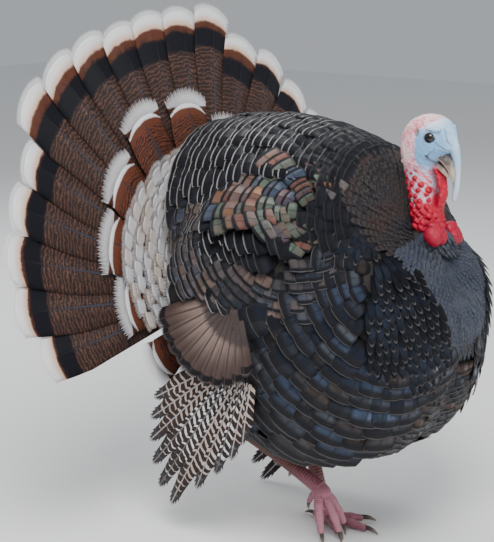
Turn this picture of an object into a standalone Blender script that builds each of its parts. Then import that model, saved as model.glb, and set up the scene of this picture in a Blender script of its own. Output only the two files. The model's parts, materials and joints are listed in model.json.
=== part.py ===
"""Wild turkey: an adult tom in full strut, caught in mid-stride, as a still, life-size model.

Frame: +X is the bird's heading, +Y its left side, +Z up, in metres.  The origin is the centre of the
standing (left) foot's pad, on the floor, and y = 0 is the middle plane of the body.
The solids give the outline of the plumage out to the feather tips.
"""
import math

import bmesh
import bpy
from mathutils import Matrix, Vector

FIT_GAP = 0.0003  # clearance between pieces that meet

# Tail fan: a flat half wheel of feathers about its root, leaning back and rolled to the bird's right.
TAIL_ROOT = Vector((-0.205, 0.0, 0.327))
TAIL_LEAN = math.radians(16.0)
TAIL_ROLL = math.radians(7.5)
TAIL_STEP = math.radians(10.0)
TAIL_REACHES = (  # from the outermost left feather to the outermost right one
    0.404, 0.436, 0.444, 0.446, 0.456, 0.446, 0.474, 0.458, 0.452,
    0.447, 0.456, 0.464, 0.472, 0.436, 0.440, 0.443, 0.435, 0.402,
)
TAIL_OPEN_FEATHERS = 5  # outer feathers that stand apart at their tips
TAIL_INNER = 0.053
TAIL_THICK = 0.0028
OPEN_BREADTH = 0.82  # how much narrower those feathers are at the tip
TAIL_ROOT_PROUD = 0.0055  # the root's middle lies this far in front of the feathers
COVERT_ROOT_THICK = 0.0225
COVERT_TIP_THICK = 0.0045
COVERT_SIDE_EDGE = math.radians(97)  # the upper coverts reach this far from straight up
UPPER_COVERT_REACH = 0.318
LOWER_COVERT_REACH = 0.150
SIDE_COVERT_CHANGE = 0.085  # shorter at the sides above, longer at the sides below

# Body: stations along the heading, each (x, lowest z, highest z, z of greatest width, half width).
BODY_STATIONS = (
    (-0.1775, 0.262, 0.545, 0.405, 0.134),
    (-0.160, 0.224, 0.576, 0.400, 0.156),
    (-0.130, 0.180, 0.604, 0.390, 0.176),
    (-0.090, 0.148, 0.618, 0.380, 0.188),
    (-0.045, 0.127, 0.621, 0.370, 0.196),
    (0.000, 0.117, 0.613, 0.362, 0.203),
    (0.045, 0.119, 0.598, 0.354, 0.209),
    (0.085, 0.131, 0.578, 0.348, 0.209),
    (0.112, 0.141, 0.543, 0.344, 0.203),
    (0.132, 0.148, 0.504, 0.340, 0.194),
    (0.152, 0.155, 0.477, 0.338, 0.181),
    (0.178, 0.176, 0.461, 0.337, 0.157),
    (0.201, 0.209, 0.446, 0.338, 0.125),
    (0.219, 0.250, 0.424, 0.340, 0.091),
    (0.232, 0.295, 0.388, 0.342, 0.050),
)
BREAST_FRONT = 0.2390
BREAST_JOIN = 0.045  # the breast begins here
BODY_SEGMENTS = 28
BODY_POWER_TOP = 2.15
BODY_POWER_BOTTOM = 2.6
CREASE_DEPTH = 0.011
CREASE_WIDTH = 0.020
CREASE_START = 0.125
CREASE_RUN = 0.06  # length over which the crease deepens
BODY_HEART = Vector((0.10, 0.0, 0.33))  # the crease sinks towards this point
RUMP_LENGTH = 0.165  # over which the body's stations come to lie along the tail

# Head and neck: level rings, each (z, back x, front x, half width).
HEAD_RINGS = (
    (0.6330, 0.1500, 0.1810, 0.0115),
    (0.6265, 0.1365, 0.1925, 0.0190),
    (0.6160, 0.1265, 0.2000, 0.0240),
    (0.6030, 0.1205, 0.2030, 0.0268),
    (0.5900, 0.1190, 0.2000, 0.0275),
    (0.5780, 0.1205, 0.1870, 0.0264),
    (0.5660, 0.1240, 0.1765, 0.0246),
    (0.5550, 0.1275, 0.1725, 0.0231),
    (0.5450, 0.1310, 0.1720, 0.0224),
)
CROWN = Vector((0.1655, 0.0, 0.6362))
NECK_RINGS = (
    (0.5447, 0.1311, 0.1721, 0.0224),
    (0.5290, 0.1345, 0.1750, 0.0216),
    (0.5120, 0.1385, 0.1795, 0.0214),
    (0.4940, 0.1430, 0.1815, 0.0222),
    (0.4760, 0.1470, 0.1825, 0.0236),
    (0.4560, 0.1530, 0.1830, 0.0240),
)
EYE_CENTRE = Vector((0.1745, 0.0205, 0.6055))
EYE_RADIUS = 0.0082
EYE_FLATNESS = 0.92
BILL_UPPER_LINE = (Vector((0.1760, 0, 0.5830)), Vector((0.1980, 0, 0.5705)), Vector((0.2005, 0, 0.5450)))
BILL_UPPER_HALF_WIDTHS = (0.0135, 0.0108, 0.0062, 0.0014)
BILL_UPPER_HALF_HEIGHTS = (0.0085, 0.0078, 0.0052, 0.0014)
BILL_LOWER_LINE = (Vector((0.1680, 0, 0.5745)), Vector((0.1845, 0, 0.5630)), Vector((0.1920, 0, 0.5505)))
BILL_LOWER_HALF_WIDTHS = (0.0125, 0.0100, 0.0066, 0.0022)
BILL_LOWER_HALF_HEIGHTS = (0.0060, 0.0056, 0.0044, 0.0018)
SNOOD_LINE = (  # from the forehead down past the bill's left side
    Vector((0.1955, 0.001, 0.6030)),
    Vector((0.2000, 0.003, 0.5900)),
    Vector((0.2010, 0.008, 0.5720)),
    Vector((0.1990, 0.013, 0.5520)),
    Vector((0.1965, 0.016, 0.5330)),
    Vector((0.1930, 0.017, 0.5160)),
)
SNOOD_HALF_WIDTHS = (0.0085, 0.0078, 0.0064, 0.0056, 0.0054, 0.0036)
SNOOD_HALF_HEIGHTS = (0.0080, 0.0074, 0.0060, 0.0054, 0.0052, 0.0036)
WATTLE_RINGS = (
    (0.5560, 0.1720, 0.1850, 0.0085),
    (0.5450, 0.1700, 0.1895, 0.0088),
    (0.5280, 0.1700, 0.1935, 0.0078),
    (0.5100, 0.1710, 0.1940, 0.0066),
    (0.4930, 0.1730, 0.1925, 0.0060),
)
CARUNCLE_PLACES = (("left", 0.0225, 0.4660), ("right", -0.0225, 0.4735))
CARUNCLE_X = 0.1865
CARUNCLE_RADII = (0.0145, 0.0190, 0.0150)

# Wings: the fans open about a point on the flank, angles from the heading over the back.
WING_ROOT = Vector((0.020, 0.2125, 0.345))
LEFT_WING_SHIFT = Vector((-0.026, 0.0, -0.048))  # the left wing hangs lower, to just above the floor
PRIMARY_LENGTHS = (0.236, 0.266, 0.294, 0.322, 0.338, 0.264, 0.218, 0.182, 0.152)
PRIMARY_SPAN = (math.radians(208), math.radians(262))
PRIMARY_ROOT = Vector((0.0, -0.0088, -0.015))  # from the wing's root
PRIMARY_THICK = 0.0030
SECONDARY_LENGTHS = (0.158, 0.160, 0.158, 0.152, 0.142, 0.128, 0.112)
SECONDARY_SPAN = (math.radians(198), math.radians(281))
SECONDARY_ROOT = Vector((-0.020, -0.0042, 0.055))
SECONDARY_THICK = 0.0055
ARM_CENTRE = Vector((-0.046, 0.0005, 0.062))
ARM_RADII = (0.120, 0.0130, 0.090)
ARM_TILT = math.radians(-24)
ARM_BACK = 0.0015  # the arm's flat inner side lies this far inside its middle
ARM_BACK_TAPER = 4.0  # share of that lost for each metre from the middle

# Legs: right tarsus in mid-stride, left leg upright over its foot.
LEFT_HOCK = Vector((-0.052, 0.012, 0.152))
LEFT_ANKLE = Vector((-0.003, 0.000, 0.020))
RIGHT_HOCK = Vector((-0.112, -0.062, 0.146))
RIGHT_ANKLE = Vector((0.029, -0.060, 0.080))
RIGHT_THIGH_TOP = Vector((-0.070, -0.080, 0.235))
TARSUS_HALF_WIDTHS = (0.0130, 0.0112, 0.0098, 0.0098, 0.0112)
TARSUS_HALF_DEPTHS = (0.0150, 0.0128, 0.0112, 0.0110, 0.0120)
THIGH_HALF_WIDTHS = (0.046, 0.040, 0.030, 0.019)
THIGH_HALF_DEPTHS = (0.050, 0.044, 0.032, 0.020)
SPUR_PLACE = 0.66  # share of the way down the tarsus
SPUR_RADII = (0.0058, 0.0042, 0.0010)
LEFT_SPUR_WAY = Vector((-0.9, -0.35, -0.1))
RIGHT_SPUR_WAY = Vector((-0.55, 0.35, -0.75))
TOE_RADII = (0.0078, 0.0070, 0.0066, 0.0048)
HIND_TOE_RADII = (0.0062, 0.0054, 0.0040)
TOE_SIDE = Vector((0.3, 1.0, 0.05))  # direction in which a toe's width is measured
CLAW_LENGTH = 0.021
LEFT_TOES = (("middle", 2.0, 0.070), ("inner", -36.0, 0.052), ("outer", 38.0, 0.055), ("hind", 168.0, 0.026))
RIGHT_KNUCKLE = RIGHT_ANKLE + Vector((0.004, 0.0, -0.006))
RIGHT_TOES = (  # (name, start from the knuckle, middle, end, claw's tip)
    ("middle", (0.0, 0.0, 0.0), (0.047, -0.056, 0.050), (0.0575, -0.052, 0.017), (0.062, -0.051, -0.001)),
    ("outer", (-0.004, -0.004, 0.0), (0.034, -0.074, 0.050), (0.041, -0.074, 0.018), (0.045, -0.074, -0.001)),
    ("inner", (0.0, 0.004, 0.0), (0.046, -0.040, 0.052), (0.051, -0.031, 0.022), (0.054, -0.029, 0.003)),
    ("hind", (-0.006, 0.004, 0.006), (0.010, -0.051, 0.066), (0.002, -0.049, 0.050), (0.0, -0.048, 0.037)),
)

COLOURS = {
    "plumage": (0.030, 0.026, 0.028),
    "breast": (0.045, 0.052, 0.070),
    "tail": (0.130, 0.075, 0.050),
    "coverts": (0.200, 0.085, 0.045),
    "wing": (0.110, 0.075, 0.062),
    "primaries": (0.340, 0.320, 0.310),
    "face": (0.480, 0.640, 0.780),
    "neck": (0.600, 0.300, 0.330),
    "caruncle": (0.620, 0.020, 0.050),
    "bill": (0.420, 0.370, 0.320),
    "eye": (0.012, 0.008, 0.006),
    "leg": (0.300, 0.130, 0.120),
    "foot": (0.560, 0.260, 0.290),
    "claw": (0.120, 0.090, 0.075),
}


# ---- small tools

def remove_everything():
    """Start from an empty file."""
    for thing in list(bpy.data.objects):
        bpy.data.objects.remove(thing, do_unlink=True)


def new_collection(name):
    """A collection linked to the scene."""
    collection = bpy.data.collections.new(name)
    bpy.context.scene.collection.children.link(collection)
    return collection


def finish_material(name, roughness=0.6, metallic=0.0):
    """A Principled material in one of the named colours."""
    material = bpy.data.materials.new("turkey_" + name)
    material.use_nodes = True
    shader = material.node_tree.nodes["Principled BSDF"]
    shader.inputs["Base Color"].default_value = (*COLOURS[name], 1.0)
    shader.inputs["Roughness"].default_value = roughness
    shader.inputs["Metallic"].default_value = metallic
    return material


def curve_value(stations, key, column):
    """Smooth value of one column of a table whose first column rises."""
    if key <= stations[0][0]:
        return stations[0][column]
    if key >= stations[-1][0]:
        return stations[-1][column]
    span = max(i for i in range(len(stations) - 1) if stations[i][0] <= key)
    before = stations[max(span - 1, 0)]
    start = stations[span]
    end = stations[span + 1]
    after = stations[min(span + 2, len(stations) - 1)]
    width = end[0] - start[0]
    slope_in = (end[column] - before[column]) / (end[0] - before[0]) * width
    slope_out = (after[column] - start[column]) / (after[0] - start[0]) * width
    t = (key - start[0]) / width
    return (
        (2 * t**3 - 3 * t**2 + 1) * start[column]
        + (t**3 - 2 * t**2 + t) * slope_in
        + (3 * t**2 - 2 * t**3) * end[column]
        + (t**3 - t**2) * slope_out
    )


def signed_power(value, power):
    """Power that keeps the sign."""
    return math.copysign(abs(value) ** power, value)


def smooth_step(value):
    """0 below 0, 1 above 1, smooth between."""
    value = min(max(value, 0.0), 1.0)
    return value * value * (3.0 - 2.0 * value)


def add_piece(name, mesh_data, collection, material):
    """A named object with one material, linked to its collection."""
    piece = bpy.data.objects.new(name, mesh_data)
    collection.objects.link(piece)
    if material is not None:
        mesh_data.materials.append(material)
    return piece


def skin_mesh(name, rings, start_pole=None, end_pole=None):
    """Closed mesh through rings of equal point counts, with flat or pointed ends."""
    shell = bmesh.new()
    loops = [[shell.verts.new(point) for point in ring] for ring in rings]
    count = len(rings[0])
    for ring, following in zip(loops, loops[1:]):
        for i in range(count):
            j = (i + 1) % count
            shell.faces.new((ring[i], ring[j], following[j], following[i]))
    for ring, pole in ((loops[0], start_pole), (loops[-1], end_pole)):
        if pole is None:
            shell.faces.new(ring)
            continue
        tip = shell.verts.new(pole)
        for i in range(count):
            shell.faces.new((ring[i], ring[(i + 1) % count], tip))
    bmesh.ops.recalc_face_normals(shell, faces=shell.faces)
    # Twisted quads are split here, so that every copy of the shape is split the same way.
    bmesh.ops.triangulate(shell, faces=[face for face in shell.faces if len(face.verts) == 4])
    mesh_data = bpy.data.meshes.new(name)
    shell.to_mesh(mesh_data)
    shell.free()
    mesh_data.shade_smooth()
    return mesh_data


def tube_rings(path, widths, heights, side, count):
    """Elliptic rings across a path; side is the direction that widths run along."""
    rings = []
    for i, point in enumerate(path):
        ahead = path[min(i + 1, len(path) - 1)] - path[max(i - 1, 0)]
        ahead.normalize()
        across = (side - ahead * side.dot(ahead)).normalized()
        rise = ahead.cross(across)
        ring = []
        for k in range(count):
            angle = math.tau * k / count
            sideways = across * (widths[i] * math.cos(angle))
            ring.append(point + sideways + rise * (heights[i] * math.sin(angle)))
        rings.append(ring)
    return rings


def bend(start, middle, end, steps):
    """Points of a quadratic Bezier curve."""
    points = []
    for i in range(steps + 1):
        t = i / steps
        points.append(start * (1 - t) ** 2 + middle * (2 * t * (1 - t)) + end * t**2)
    return points


def spread(values, steps):
    """A short list of sizes stretched evenly over steps + 1 stations."""
    table = tuple((i / (len(values) - 1), value) for i, value in enumerate(values))
    return [curve_value(table, i / steps, 1) for i in range(steps + 1)]


def tube_piece(name, path, widths, heights, side, count, collection, material, pointed=False):
    """A bent tapering limb with elliptic sections."""
    steps = len(path) - 1
    rings = tube_rings(path, spread(widths, steps), spread(heights, steps), side, count)
    tip = None
    if pointed:
        tip = path[-1] + (path[-1] - path[-2]).normalized() * max(spread(widths, steps)[-1], 0.0004)
    return add_piece(name, skin_mesh(name, rings, None, tip), collection, material)


def ellipsoid_piece(name, centre, radii, collection, material, segments=16, rows=10):
    """A sphere primitive stretched to three radii."""
    ball = bmesh.new()
    bmesh.ops.create_uvsphere(ball, u_segments=segments, v_segments=rows, radius=1.0)
    bmesh.ops.transform(ball, matrix=Matrix.Diagonal((*radii, 1.0)), verts=ball.verts)
    bmesh.ops.translate(ball, vec=centre, verts=ball.verts)
    mesh_data = bpy.data.meshes.new(name)
    ball.to_mesh(mesh_data)
    ball.free()
    mesh_data.shade_smooth()
    return add_piece(name, mesh_data, collection, material)


def plate_piece(name, rows, thickness, collection, material):
    """A thin plate: an open grid of points with a Solidify modifier."""
    sheet = bmesh.new()
    grid = [[sheet.verts.new(point) for point in row] for row in rows]
    for row, following in zip(grid, grid[1:]):
        for i in range(len(row) - 1):
            sheet.faces.new((row[i], row[i + 1], following[i + 1], following[i]))
    mesh_data = bpy.data.meshes.new(name)
    sheet.to_mesh(mesh_data)
    sheet.free()
    mesh_data.shade_smooth()
    piece = add_piece(name, mesh_data, collection, material)
    wall = piece.modifiers.new("plate thickness", "SOLIDIFY")
    wall.thickness = thickness
    wall.offset = 0.0
    return piece


def evaluated_copy(piece, name, collection):
    """A cutter-to-be: the evaluated shape of a piece as a plain mesh."""
    bpy.context.view_layer.update()
    evaluated = piece.evaluated_get(bpy.context.evaluated_depsgraph_get())
    copy = bpy.data.objects.new(name, bpy.data.meshes.new_from_object(evaluated))
    collection.objects.link(copy)
    return copy


def as_cutter(tool):
    """Cutters are guides only: unseen in renders and drawn as wire."""
    tool.hide_render = True
    tool.display_type = "WIRE"
    return tool


def cut_with(piece, tool, operation="DIFFERENCE"):
    """Exact Boolean of a piece with a cutter."""
    cut = piece.modifiers.new(operation.lower() + " " + tool.name, "BOOLEAN")
    cut.operation = operation
    cut.solver = "EXACT"
    cut.object = tool


def fit_against(piece, neighbours, cutters):
    """Take from a piece what its neighbours fill, leaving the fit gap between them."""
    for neighbour in neighbours:
        tool = evaluated_copy(neighbour, piece.name + "_seat_" + neighbour.name, cutters)
        grown = bmesh.new()
        grown.from_mesh(tool.data)
        bmesh.ops.remove_doubles(grown, verts=grown.verts, dist=0.00001)
        grown.normal_update()
        for vert in grown.verts:
            vert.co += vert.normal * (FIT_GAP * vert.calc_shell_factor())
        grown.to_mesh(tool.data)
        grown.free()
        cut_with(piece, as_cutter(tool))


# ---- trunk and breast

def body_lean(x):
    """How far a body station leans with height; the rump lies along the tail's plane."""
    return -math.tan(TAIL_LEAN) * smooth_step(-x / RUMP_LENGTH)


def body_point(x, angle):
    """Point on the plumage outline at a station and an angle from the left side upwards."""
    low = curve_value(BODY_STATIONS, x, 1)
    high = curve_value(BODY_STATIONS, x, 2)
    level = curve_value(BODY_STATIONS, x, 3)
    half = curve_value(BODY_STATIONS, x, 4)
    rising = math.sin(angle) >= 0.0
    power = 2.0 / (BODY_POWER_TOP if rising else BODY_POWER_BOTTOM)
    y = half * signed_power(math.cos(angle), power)
    z = level + (high - level if rising else level - low) * signed_power(math.sin(angle), power)
    point = Vector((x + body_lean(x) * (z - TAIL_ROOT.z), y, z))
    crease = CREASE_DEPTH * smooth_step((x - CREASE_START) / CREASE_RUN)
    crease *= math.exp(-((y / CREASE_WIDTH) ** 2))
    return point + (BODY_HEART - point).normalized() * crease


def body_ring(x):
    """One closed section of the body."""
    return [body_point(x, math.tau * i / BODY_SEGMENTS) for i in range(BODY_SEGMENTS)]


def make_body(parts, materials):
    """Trunk from the tail to the wings' front, breast from there forward."""
    stations = [row[0] for row in BODY_STATIONS]
    joins = (BREAST_JOIN - FIT_GAP / 2, BREAST_JOIN + FIT_GAP / 2)
    back = [x for x in stations if x < joins[0]] + [joins[0]]
    front = [joins[1]] + [x for x in stations if x > joins[1]]
    trunk = skin_mesh("trunk", [body_ring(x) for x in back])
    pole = Vector((BREAST_FRONT - CREASE_DEPTH * 0.7, 0.0, BODY_STATIONS[-1][3]))
    breast = skin_mesh("breast", [body_ring(x) for x in front], None, pole)
    return (
        add_piece("trunk", trunk, parts, materials["plumage"]),
        add_piece("breast", breast, parts, materials["breast"]),
    )


# ---- head and neck

def level_ring(z, back, front, half, count=20, power=2.2):
    """A level superelliptic ring."""
    centre = (back + front) / 2
    reach = (front - back) / 2
    ring = []
    for i in range(count):
        angle = math.tau * i / count
        x = centre + reach * signed_power(math.cos(angle), 2.0 / power)
        y = half * signed_power(math.sin(angle), 2.0 / power)
        ring.append(Vector((x, y, z)))
    return ring


def make_head_and_neck(parts, cutters, materials, breast):
    """Head, bill, eyes, snood, neck and the red skin of the throat."""
    head_rings = [level_ring(*row) for row in HEAD_RINGS]
    head = add_piece("head", skin_mesh("head", head_rings, CROWN), parts, materials["face"])
    neck_rings = [level_ring(*row) for row in NECK_RINGS]
    neck = add_piece("neck", skin_mesh("neck", neck_rings), parts, materials["neck"])
    fit_against(neck, (breast,), cutters)

    eyes = []
    for side, sign in (("left", 1.0), ("right", -1.0)):
        centre = Vector((EYE_CENTRE.x, sign * EYE_CENTRE.y, EYE_CENTRE.z))
        radii = (EYE_RADIUS, EYE_RADIUS * EYE_FLATNESS, EYE_RADIUS)
        eyes.append(ellipsoid_piece("eye_" + side, centre, radii, parts, materials["eye"], 12, 6))
    fit_against(head, eyes, cutters)

    across = Vector((0.0, 1.0, 0.0))
    upper = tube_piece(
        "bill_upper", bend(*BILL_UPPER_LINE, 5), BILL_UPPER_HALF_WIDTHS, BILL_UPPER_HALF_HEIGHTS,
        across, 10, parts, materials["bill"], pointed=True,
    )
    lower = tube_piece(
        "bill_lower", bend(*BILL_LOWER_LINE, 4), BILL_LOWER_HALF_WIDTHS, BILL_LOWER_HALF_HEIGHTS,
        across, 10, parts, materials["bill"], pointed=True,
    )
    snood = tube_piece(
        "snood", SNOOD_LINE, SNOOD_HALF_WIDTHS, SNOOD_HALF_HEIGHTS,
        across, 10, parts, materials["face"], pointed=True,
    )
    fit_against(upper, (head, snood), cutters)
    fit_against(lower, (head, upper), cutters)
    fit_against(snood, (head,), cutters)

    wattle_rings = [level_ring(*row, count=12) for row in WATTLE_RINGS]
    wattle = add_piece("wattle", skin_mesh("wattle", wattle_rings), parts, materials["caruncle"])
    fit_against(wattle, (head, neck, lower), cutters)
    for side, y, z in CARUNCLE_PLACES:
        bulb = ellipsoid_piece(
            "caruncle_" + side, Vector((CARUNCLE_X, y, z)), CARUNCLE_RADII,
            parts, materials["caruncle"], 14, 8,
        )
        fit_against(bulb, (neck, breast, wattle), cutters)


# ---- tail

TAIL_NORMAL = Vector((math.cos(TAIL_LEAN), 0.0, math.sin(TAIL_LEAN)))
TAIL_RISE = Vector((-math.sin(TAIL_LEAN), 0.0, math.cos(TAIL_LEAN)))
TAIL_SIDE = Vector((0.0, -1.0, 0.0))
TAIL_UP = TAIL_RISE * math.cos(TAIL_ROLL) + TAIL_SIDE * math.sin(TAIL_ROLL)
TAIL_ACROSS = TAIL_SIDE * math.cos(TAIL_ROLL) - TAIL_RISE * math.sin(TAIL_ROLL)


def tail_point(radius, angle, proud=0.0):
    """Point of the tail's plane; angle from straight up the fan towards the bird's right."""
    direction = TAIL_UP * math.cos(angle) + TAIL_ACROSS * math.sin(angle)
    return TAIL_ROOT + direction * radius + TAIL_NORMAL * proud


def feather_rows(inner, outer, angle, half_step, breadth, columns=4):
    """Grid of one tail feather: a narrow wedge with a broad round tip."""
    rows = []
    outline = ((0.0, 1.0), (0.7, 1.0), (0.88, breadth), (0.965, 0.86 * breadth), (1.0, 0.44 * breadth))
    for share, width in outline:
        radius = inner + (outer - inner) * share
        half_width = (radius * math.sin(half_step) - FIT_GAP) * width
        row = []
        for column in range(columns + 1):
            offset = half_width * (2.0 * column / columns - 1.0)
            row.append(tail_point(math.hypot(radius, offset), angle + math.atan2(offset, radius)))
        rows.append(row)
    return rows


def make_tail(parts, materials):
    """Eighteen great tail feathers, their coverts above and below, and the root that carries them."""
    count = len(TAIL_REACHES)
    first = -(count - 1) / 2 * TAIL_STEP
    for i, reach in enumerate(TAIL_REACHES):
        angle = first + i * TAIL_STEP
        breadth = OPEN_BREADTH if min(i, count - 1 - i) < TAIL_OPEN_FEATHERS else 1.0
        rows = feather_rows(TAIL_INNER, reach, angle, TAIL_STEP / 2, breadth)
        plate_piece("tail_feather_%02d" % (i + 1), rows, TAIL_THICK, parts, materials["tail"])

    radius = TAIL_INNER - FIT_GAP * 2
    root = ellipsoid_piece(
        "tail_root", Vector((0, 0, 0)), (radius, radius, COVERT_ROOT_THICK * 0.84),
        parts, materials["coverts"], 18, 6,
    )
    frame = Matrix((TAIL_UP, TAIL_ACROSS, TAIL_NORMAL)).transposed().to_4x4()
    root.data.transform(Matrix.Translation(TAIL_ROOT + TAIL_NORMAL * TAIL_ROOT_PROUD) @ frame)
    fan_piece("tail_coverts_upper", 13, -COVERT_SIDE_EDGE, COVERT_SIDE_EDGE, upper_covert_reach,
              parts, materials["coverts"])
    gap_turn = FIT_GAP / TAIL_INNER
    fan_piece("tail_coverts_lower", 9, COVERT_SIDE_EDGE + gap_turn, math.tau - COVERT_SIDE_EDGE - gap_turn,
              lower_covert_reach, parts, materials["plumage"])


def upper_covert_reach(turn):
    """How far the coverts above the root reach; they shorten towards the sides."""
    side = smooth_step((abs(turn) - math.radians(50)) / math.radians(45))
    return UPPER_COVERT_REACH - SIDE_COVERT_CHANGE * side


def lower_covert_reach(turn):
    """How far the coverts below the root reach; they lengthen towards the sides."""
    side = smooth_step((abs(turn - math.pi) - math.radians(50)) / math.radians(32))
    return LOWER_COVERT_REACH + SIDE_COVERT_CHANGE * side


def fan_piece(name, count, start, stop, reach, parts, material):
    """A thick-rooted half ring of coverts in front of the tail, its edge scalloped by the feather tips."""
    front = TAIL_THICK / 2 + FIT_GAP
    layers = []
    for i in range(count):
        for share, cut in ((0.0, 0.06), (0.3, 0.0), (0.7, 0.0)):
            turn = start + (stop - start) * (i + share) / count
            layers.append((turn, reach(turn) * (1.0 - cut)))
    layers.append((stop, reach(stop) * 0.94))
    shell = bmesh.new()
    columns = []
    for turn, outer in layers:
        column = []
        for share in (0.0, 0.55, 1.0):
            radius = TAIL_INNER + (outer - TAIL_INNER) * share
            thick = COVERT_ROOT_THICK + (COVERT_TIP_THICK - COVERT_ROOT_THICK) * smooth_step(share)
            column.append((
                shell.verts.new(tail_point(radius, turn, front)),
                shell.verts.new(tail_point(radius, turn, front + thick)),
            ))
        columns.append(column)
    for column, following in zip(columns, columns[1:]):
        for i in range(len(column) - 1):
            shell.faces.new((column[i][1], following[i][1], following[i + 1][1], column[i + 1][1]))
            shell.faces.new((column[i][0], column[i + 1][0], following[i + 1][0], following[i][0]))
        shell.faces.new((column[0][0], following[0][0], following[0][1], column[0][1]))
        shell.faces.new((column[-1][1], following[-1][1], following[-1][0], column[-1][0]))
    for column in (columns[0], columns[-1]):
        for i in range(len(column) - 1):
            shell.faces.new((column[i][0], column[i][1], column[i + 1][1], column[i + 1][0]))
    bmesh.ops.recalc_face_normals(shell, faces=shell.faces)
    mesh_data = bpy.data.meshes.new(name)
    shell.to_mesh(mesh_data)
    shell.free()
    mesh_data.shade_smooth()
    return add_piece(name, mesh_data, parts, material)


# ---- wings

def wing_fan_rows(root, lengths, start, stop, inner, notch, toe_in, sign):
    """Grid of a fan of flight feathers in the wing's plane, notched between the feather tips."""
    columns = []
    for i, length in enumerate(lengths):
        for fraction, cut in ((0.03, notch), (0.5, 0.0), (0.97, notch)):
            turn = start + (stop - start) * (i + fraction) / len(lengths)
            columns.append((turn, length * (1.0 - cut)))
    rows = []
    for share in (0.0, 0.55, 1.0):
        row = []
        for turn, length in columns:
            radius = inner + (length - inner) * share
            inset = toe_in * (radius / 0.3) ** 2
            row.append(Vector((
                root.x + radius * math.cos(turn),
                sign * (root.y - inset),
                root.z + radius * math.sin(turn),
            )))
        rows.append(row)
    return rows


def make_wing(side, sign, shift, toe_in, parts, materials):
    """Folded, lowered wing: the covered arm, the fan of secondaries and the barred primaries."""
    root = WING_ROOT + shift
    plate_piece(
        "primaries_" + side,
        wing_fan_rows(root + PRIMARY_ROOT, PRIMARY_LENGTHS, *PRIMARY_SPAN, 0.060, 0.10, toe_in, sign),
        PRIMARY_THICK, parts, materials["primaries"],
    )
    plate_piece(
        "secondaries_" + side,
        wing_fan_rows(root + SECONDARY_ROOT, SECONDARY_LENGTHS, *SECONDARY_SPAN, 0.020, 0.07, 0.0, sign),
        SECONDARY_THICK, parts, materials["wing"],
    )
    arm = ellipsoid_piece("wing_" + side, Vector((0, 0, 0)), ARM_RADII, parts, materials["wing"], 16, 8)
    for vert in arm.data.vertices:
        inner = ARM_BACK * (1.0 - abs(vert.co.x) * ARM_BACK_TAPER)
        vert.co.y = sign * max(sign * vert.co.y, -inner)
    centre = root + ARM_CENTRE
    tilt = Matrix.Rotation(ARM_TILT, 4, "Y")
    arm.data.transform(Matrix.Translation((centre.x, sign * centre.y, centre.z)) @ tilt)
    arm.data.shade_smooth()


# ---- legs

def floor_block(cutters):
    """What lies under the floor, for flats on the soles."""
    block = bmesh.new()
    bmesh.ops.create_cube(block, size=1.0)
    mesh_data = bpy.data.meshes.new("under_floor")
    block.to_mesh(mesh_data)
    block.free()
    mesh_data.transform(Matrix.Translation((0, 0, -0.5)))
    tool = bpy.data.objects.new("under_floor", mesh_data)
    cutters.objects.link(tool)
    return as_cutter(tool)


def make_foot(side, tarsus, pad, pad_radii, toes, parts, cutters, materials, ground):
    """Pad and toes in one piece, with a claw at the end of each toe."""
    foot = ellipsoid_piece("foot_" + side, pad, pad_radii, parts, materials["foot"], 10, 6)
    for toe, path, widths, claw_path in toes:
        heights = [width * 0.92 for width in widths]
        limb = tube_piece(
            "toe_%s_%s" % (toe, side), path, widths, heights, TOE_SIDE, 8, cutters, None, pointed=True,
        )
        cut_with(foot, as_cutter(limb), "UNION")
        base = widths[-1]
        claw = tube_piece(
            "claw_%s_%s" % (toe, side), claw_path,
            (0.74 * base, 0.60 * base, 0.20 * base), (0.84 * base, 0.66 * base, 0.20 * base),
            TOE_SIDE, 6, parts, materials["claw"], pointed=True,
        )
        cut_with(claw, ground)
        fit_against(claw, (limb,), cutters)
    cut_with(foot, ground)
    fit_against(foot, (tarsus,), cutters)


def flat_toe(name, heading, length):
    """A toe of the standing foot, along the floor, with its claw."""
    turn = math.radians(heading)
    way = Vector((math.cos(turn), math.sin(turn), 0.0))
    start = Vector((0.0, 0.0, 0.0095))
    end = way * length + Vector((0, 0, 0.0058))
    middle = way * (length * 0.55) + Vector((0, 0, 0.0098))
    claw_start = way * (length - 0.001) + Vector((0, 0, 0.0072))
    claw_middle = way * (length + 0.012) + Vector((0, 0, 0.0080))
    claw_tip = way * (length + CLAW_LENGTH) + Vector((0, 0, 0.0012))
    width = HIND_TOE_RADII if name == "hind" else TOE_RADII
    return (name, bend(start, middle, end, 3), width, bend(claw_start, claw_middle, claw_tip, 2))


def hanging_toe(name, from_knuckle, middle, end, claw_tip):
    """A toe of the lifted foot, drooping, with its claw."""
    start = RIGHT_KNUCKLE + Vector(from_knuckle)
    end = Vector(end)
    reach = (end - Vector(middle)).normalized()
    claw = bend(end - reach * 0.002, end + reach * 0.008, Vector(claw_tip), 2)
    width = HIND_TOE_RADII if name == "hind" else TOE_RADII
    return (name, bend(start, Vector(middle), end, 3), width, claw)


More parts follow.
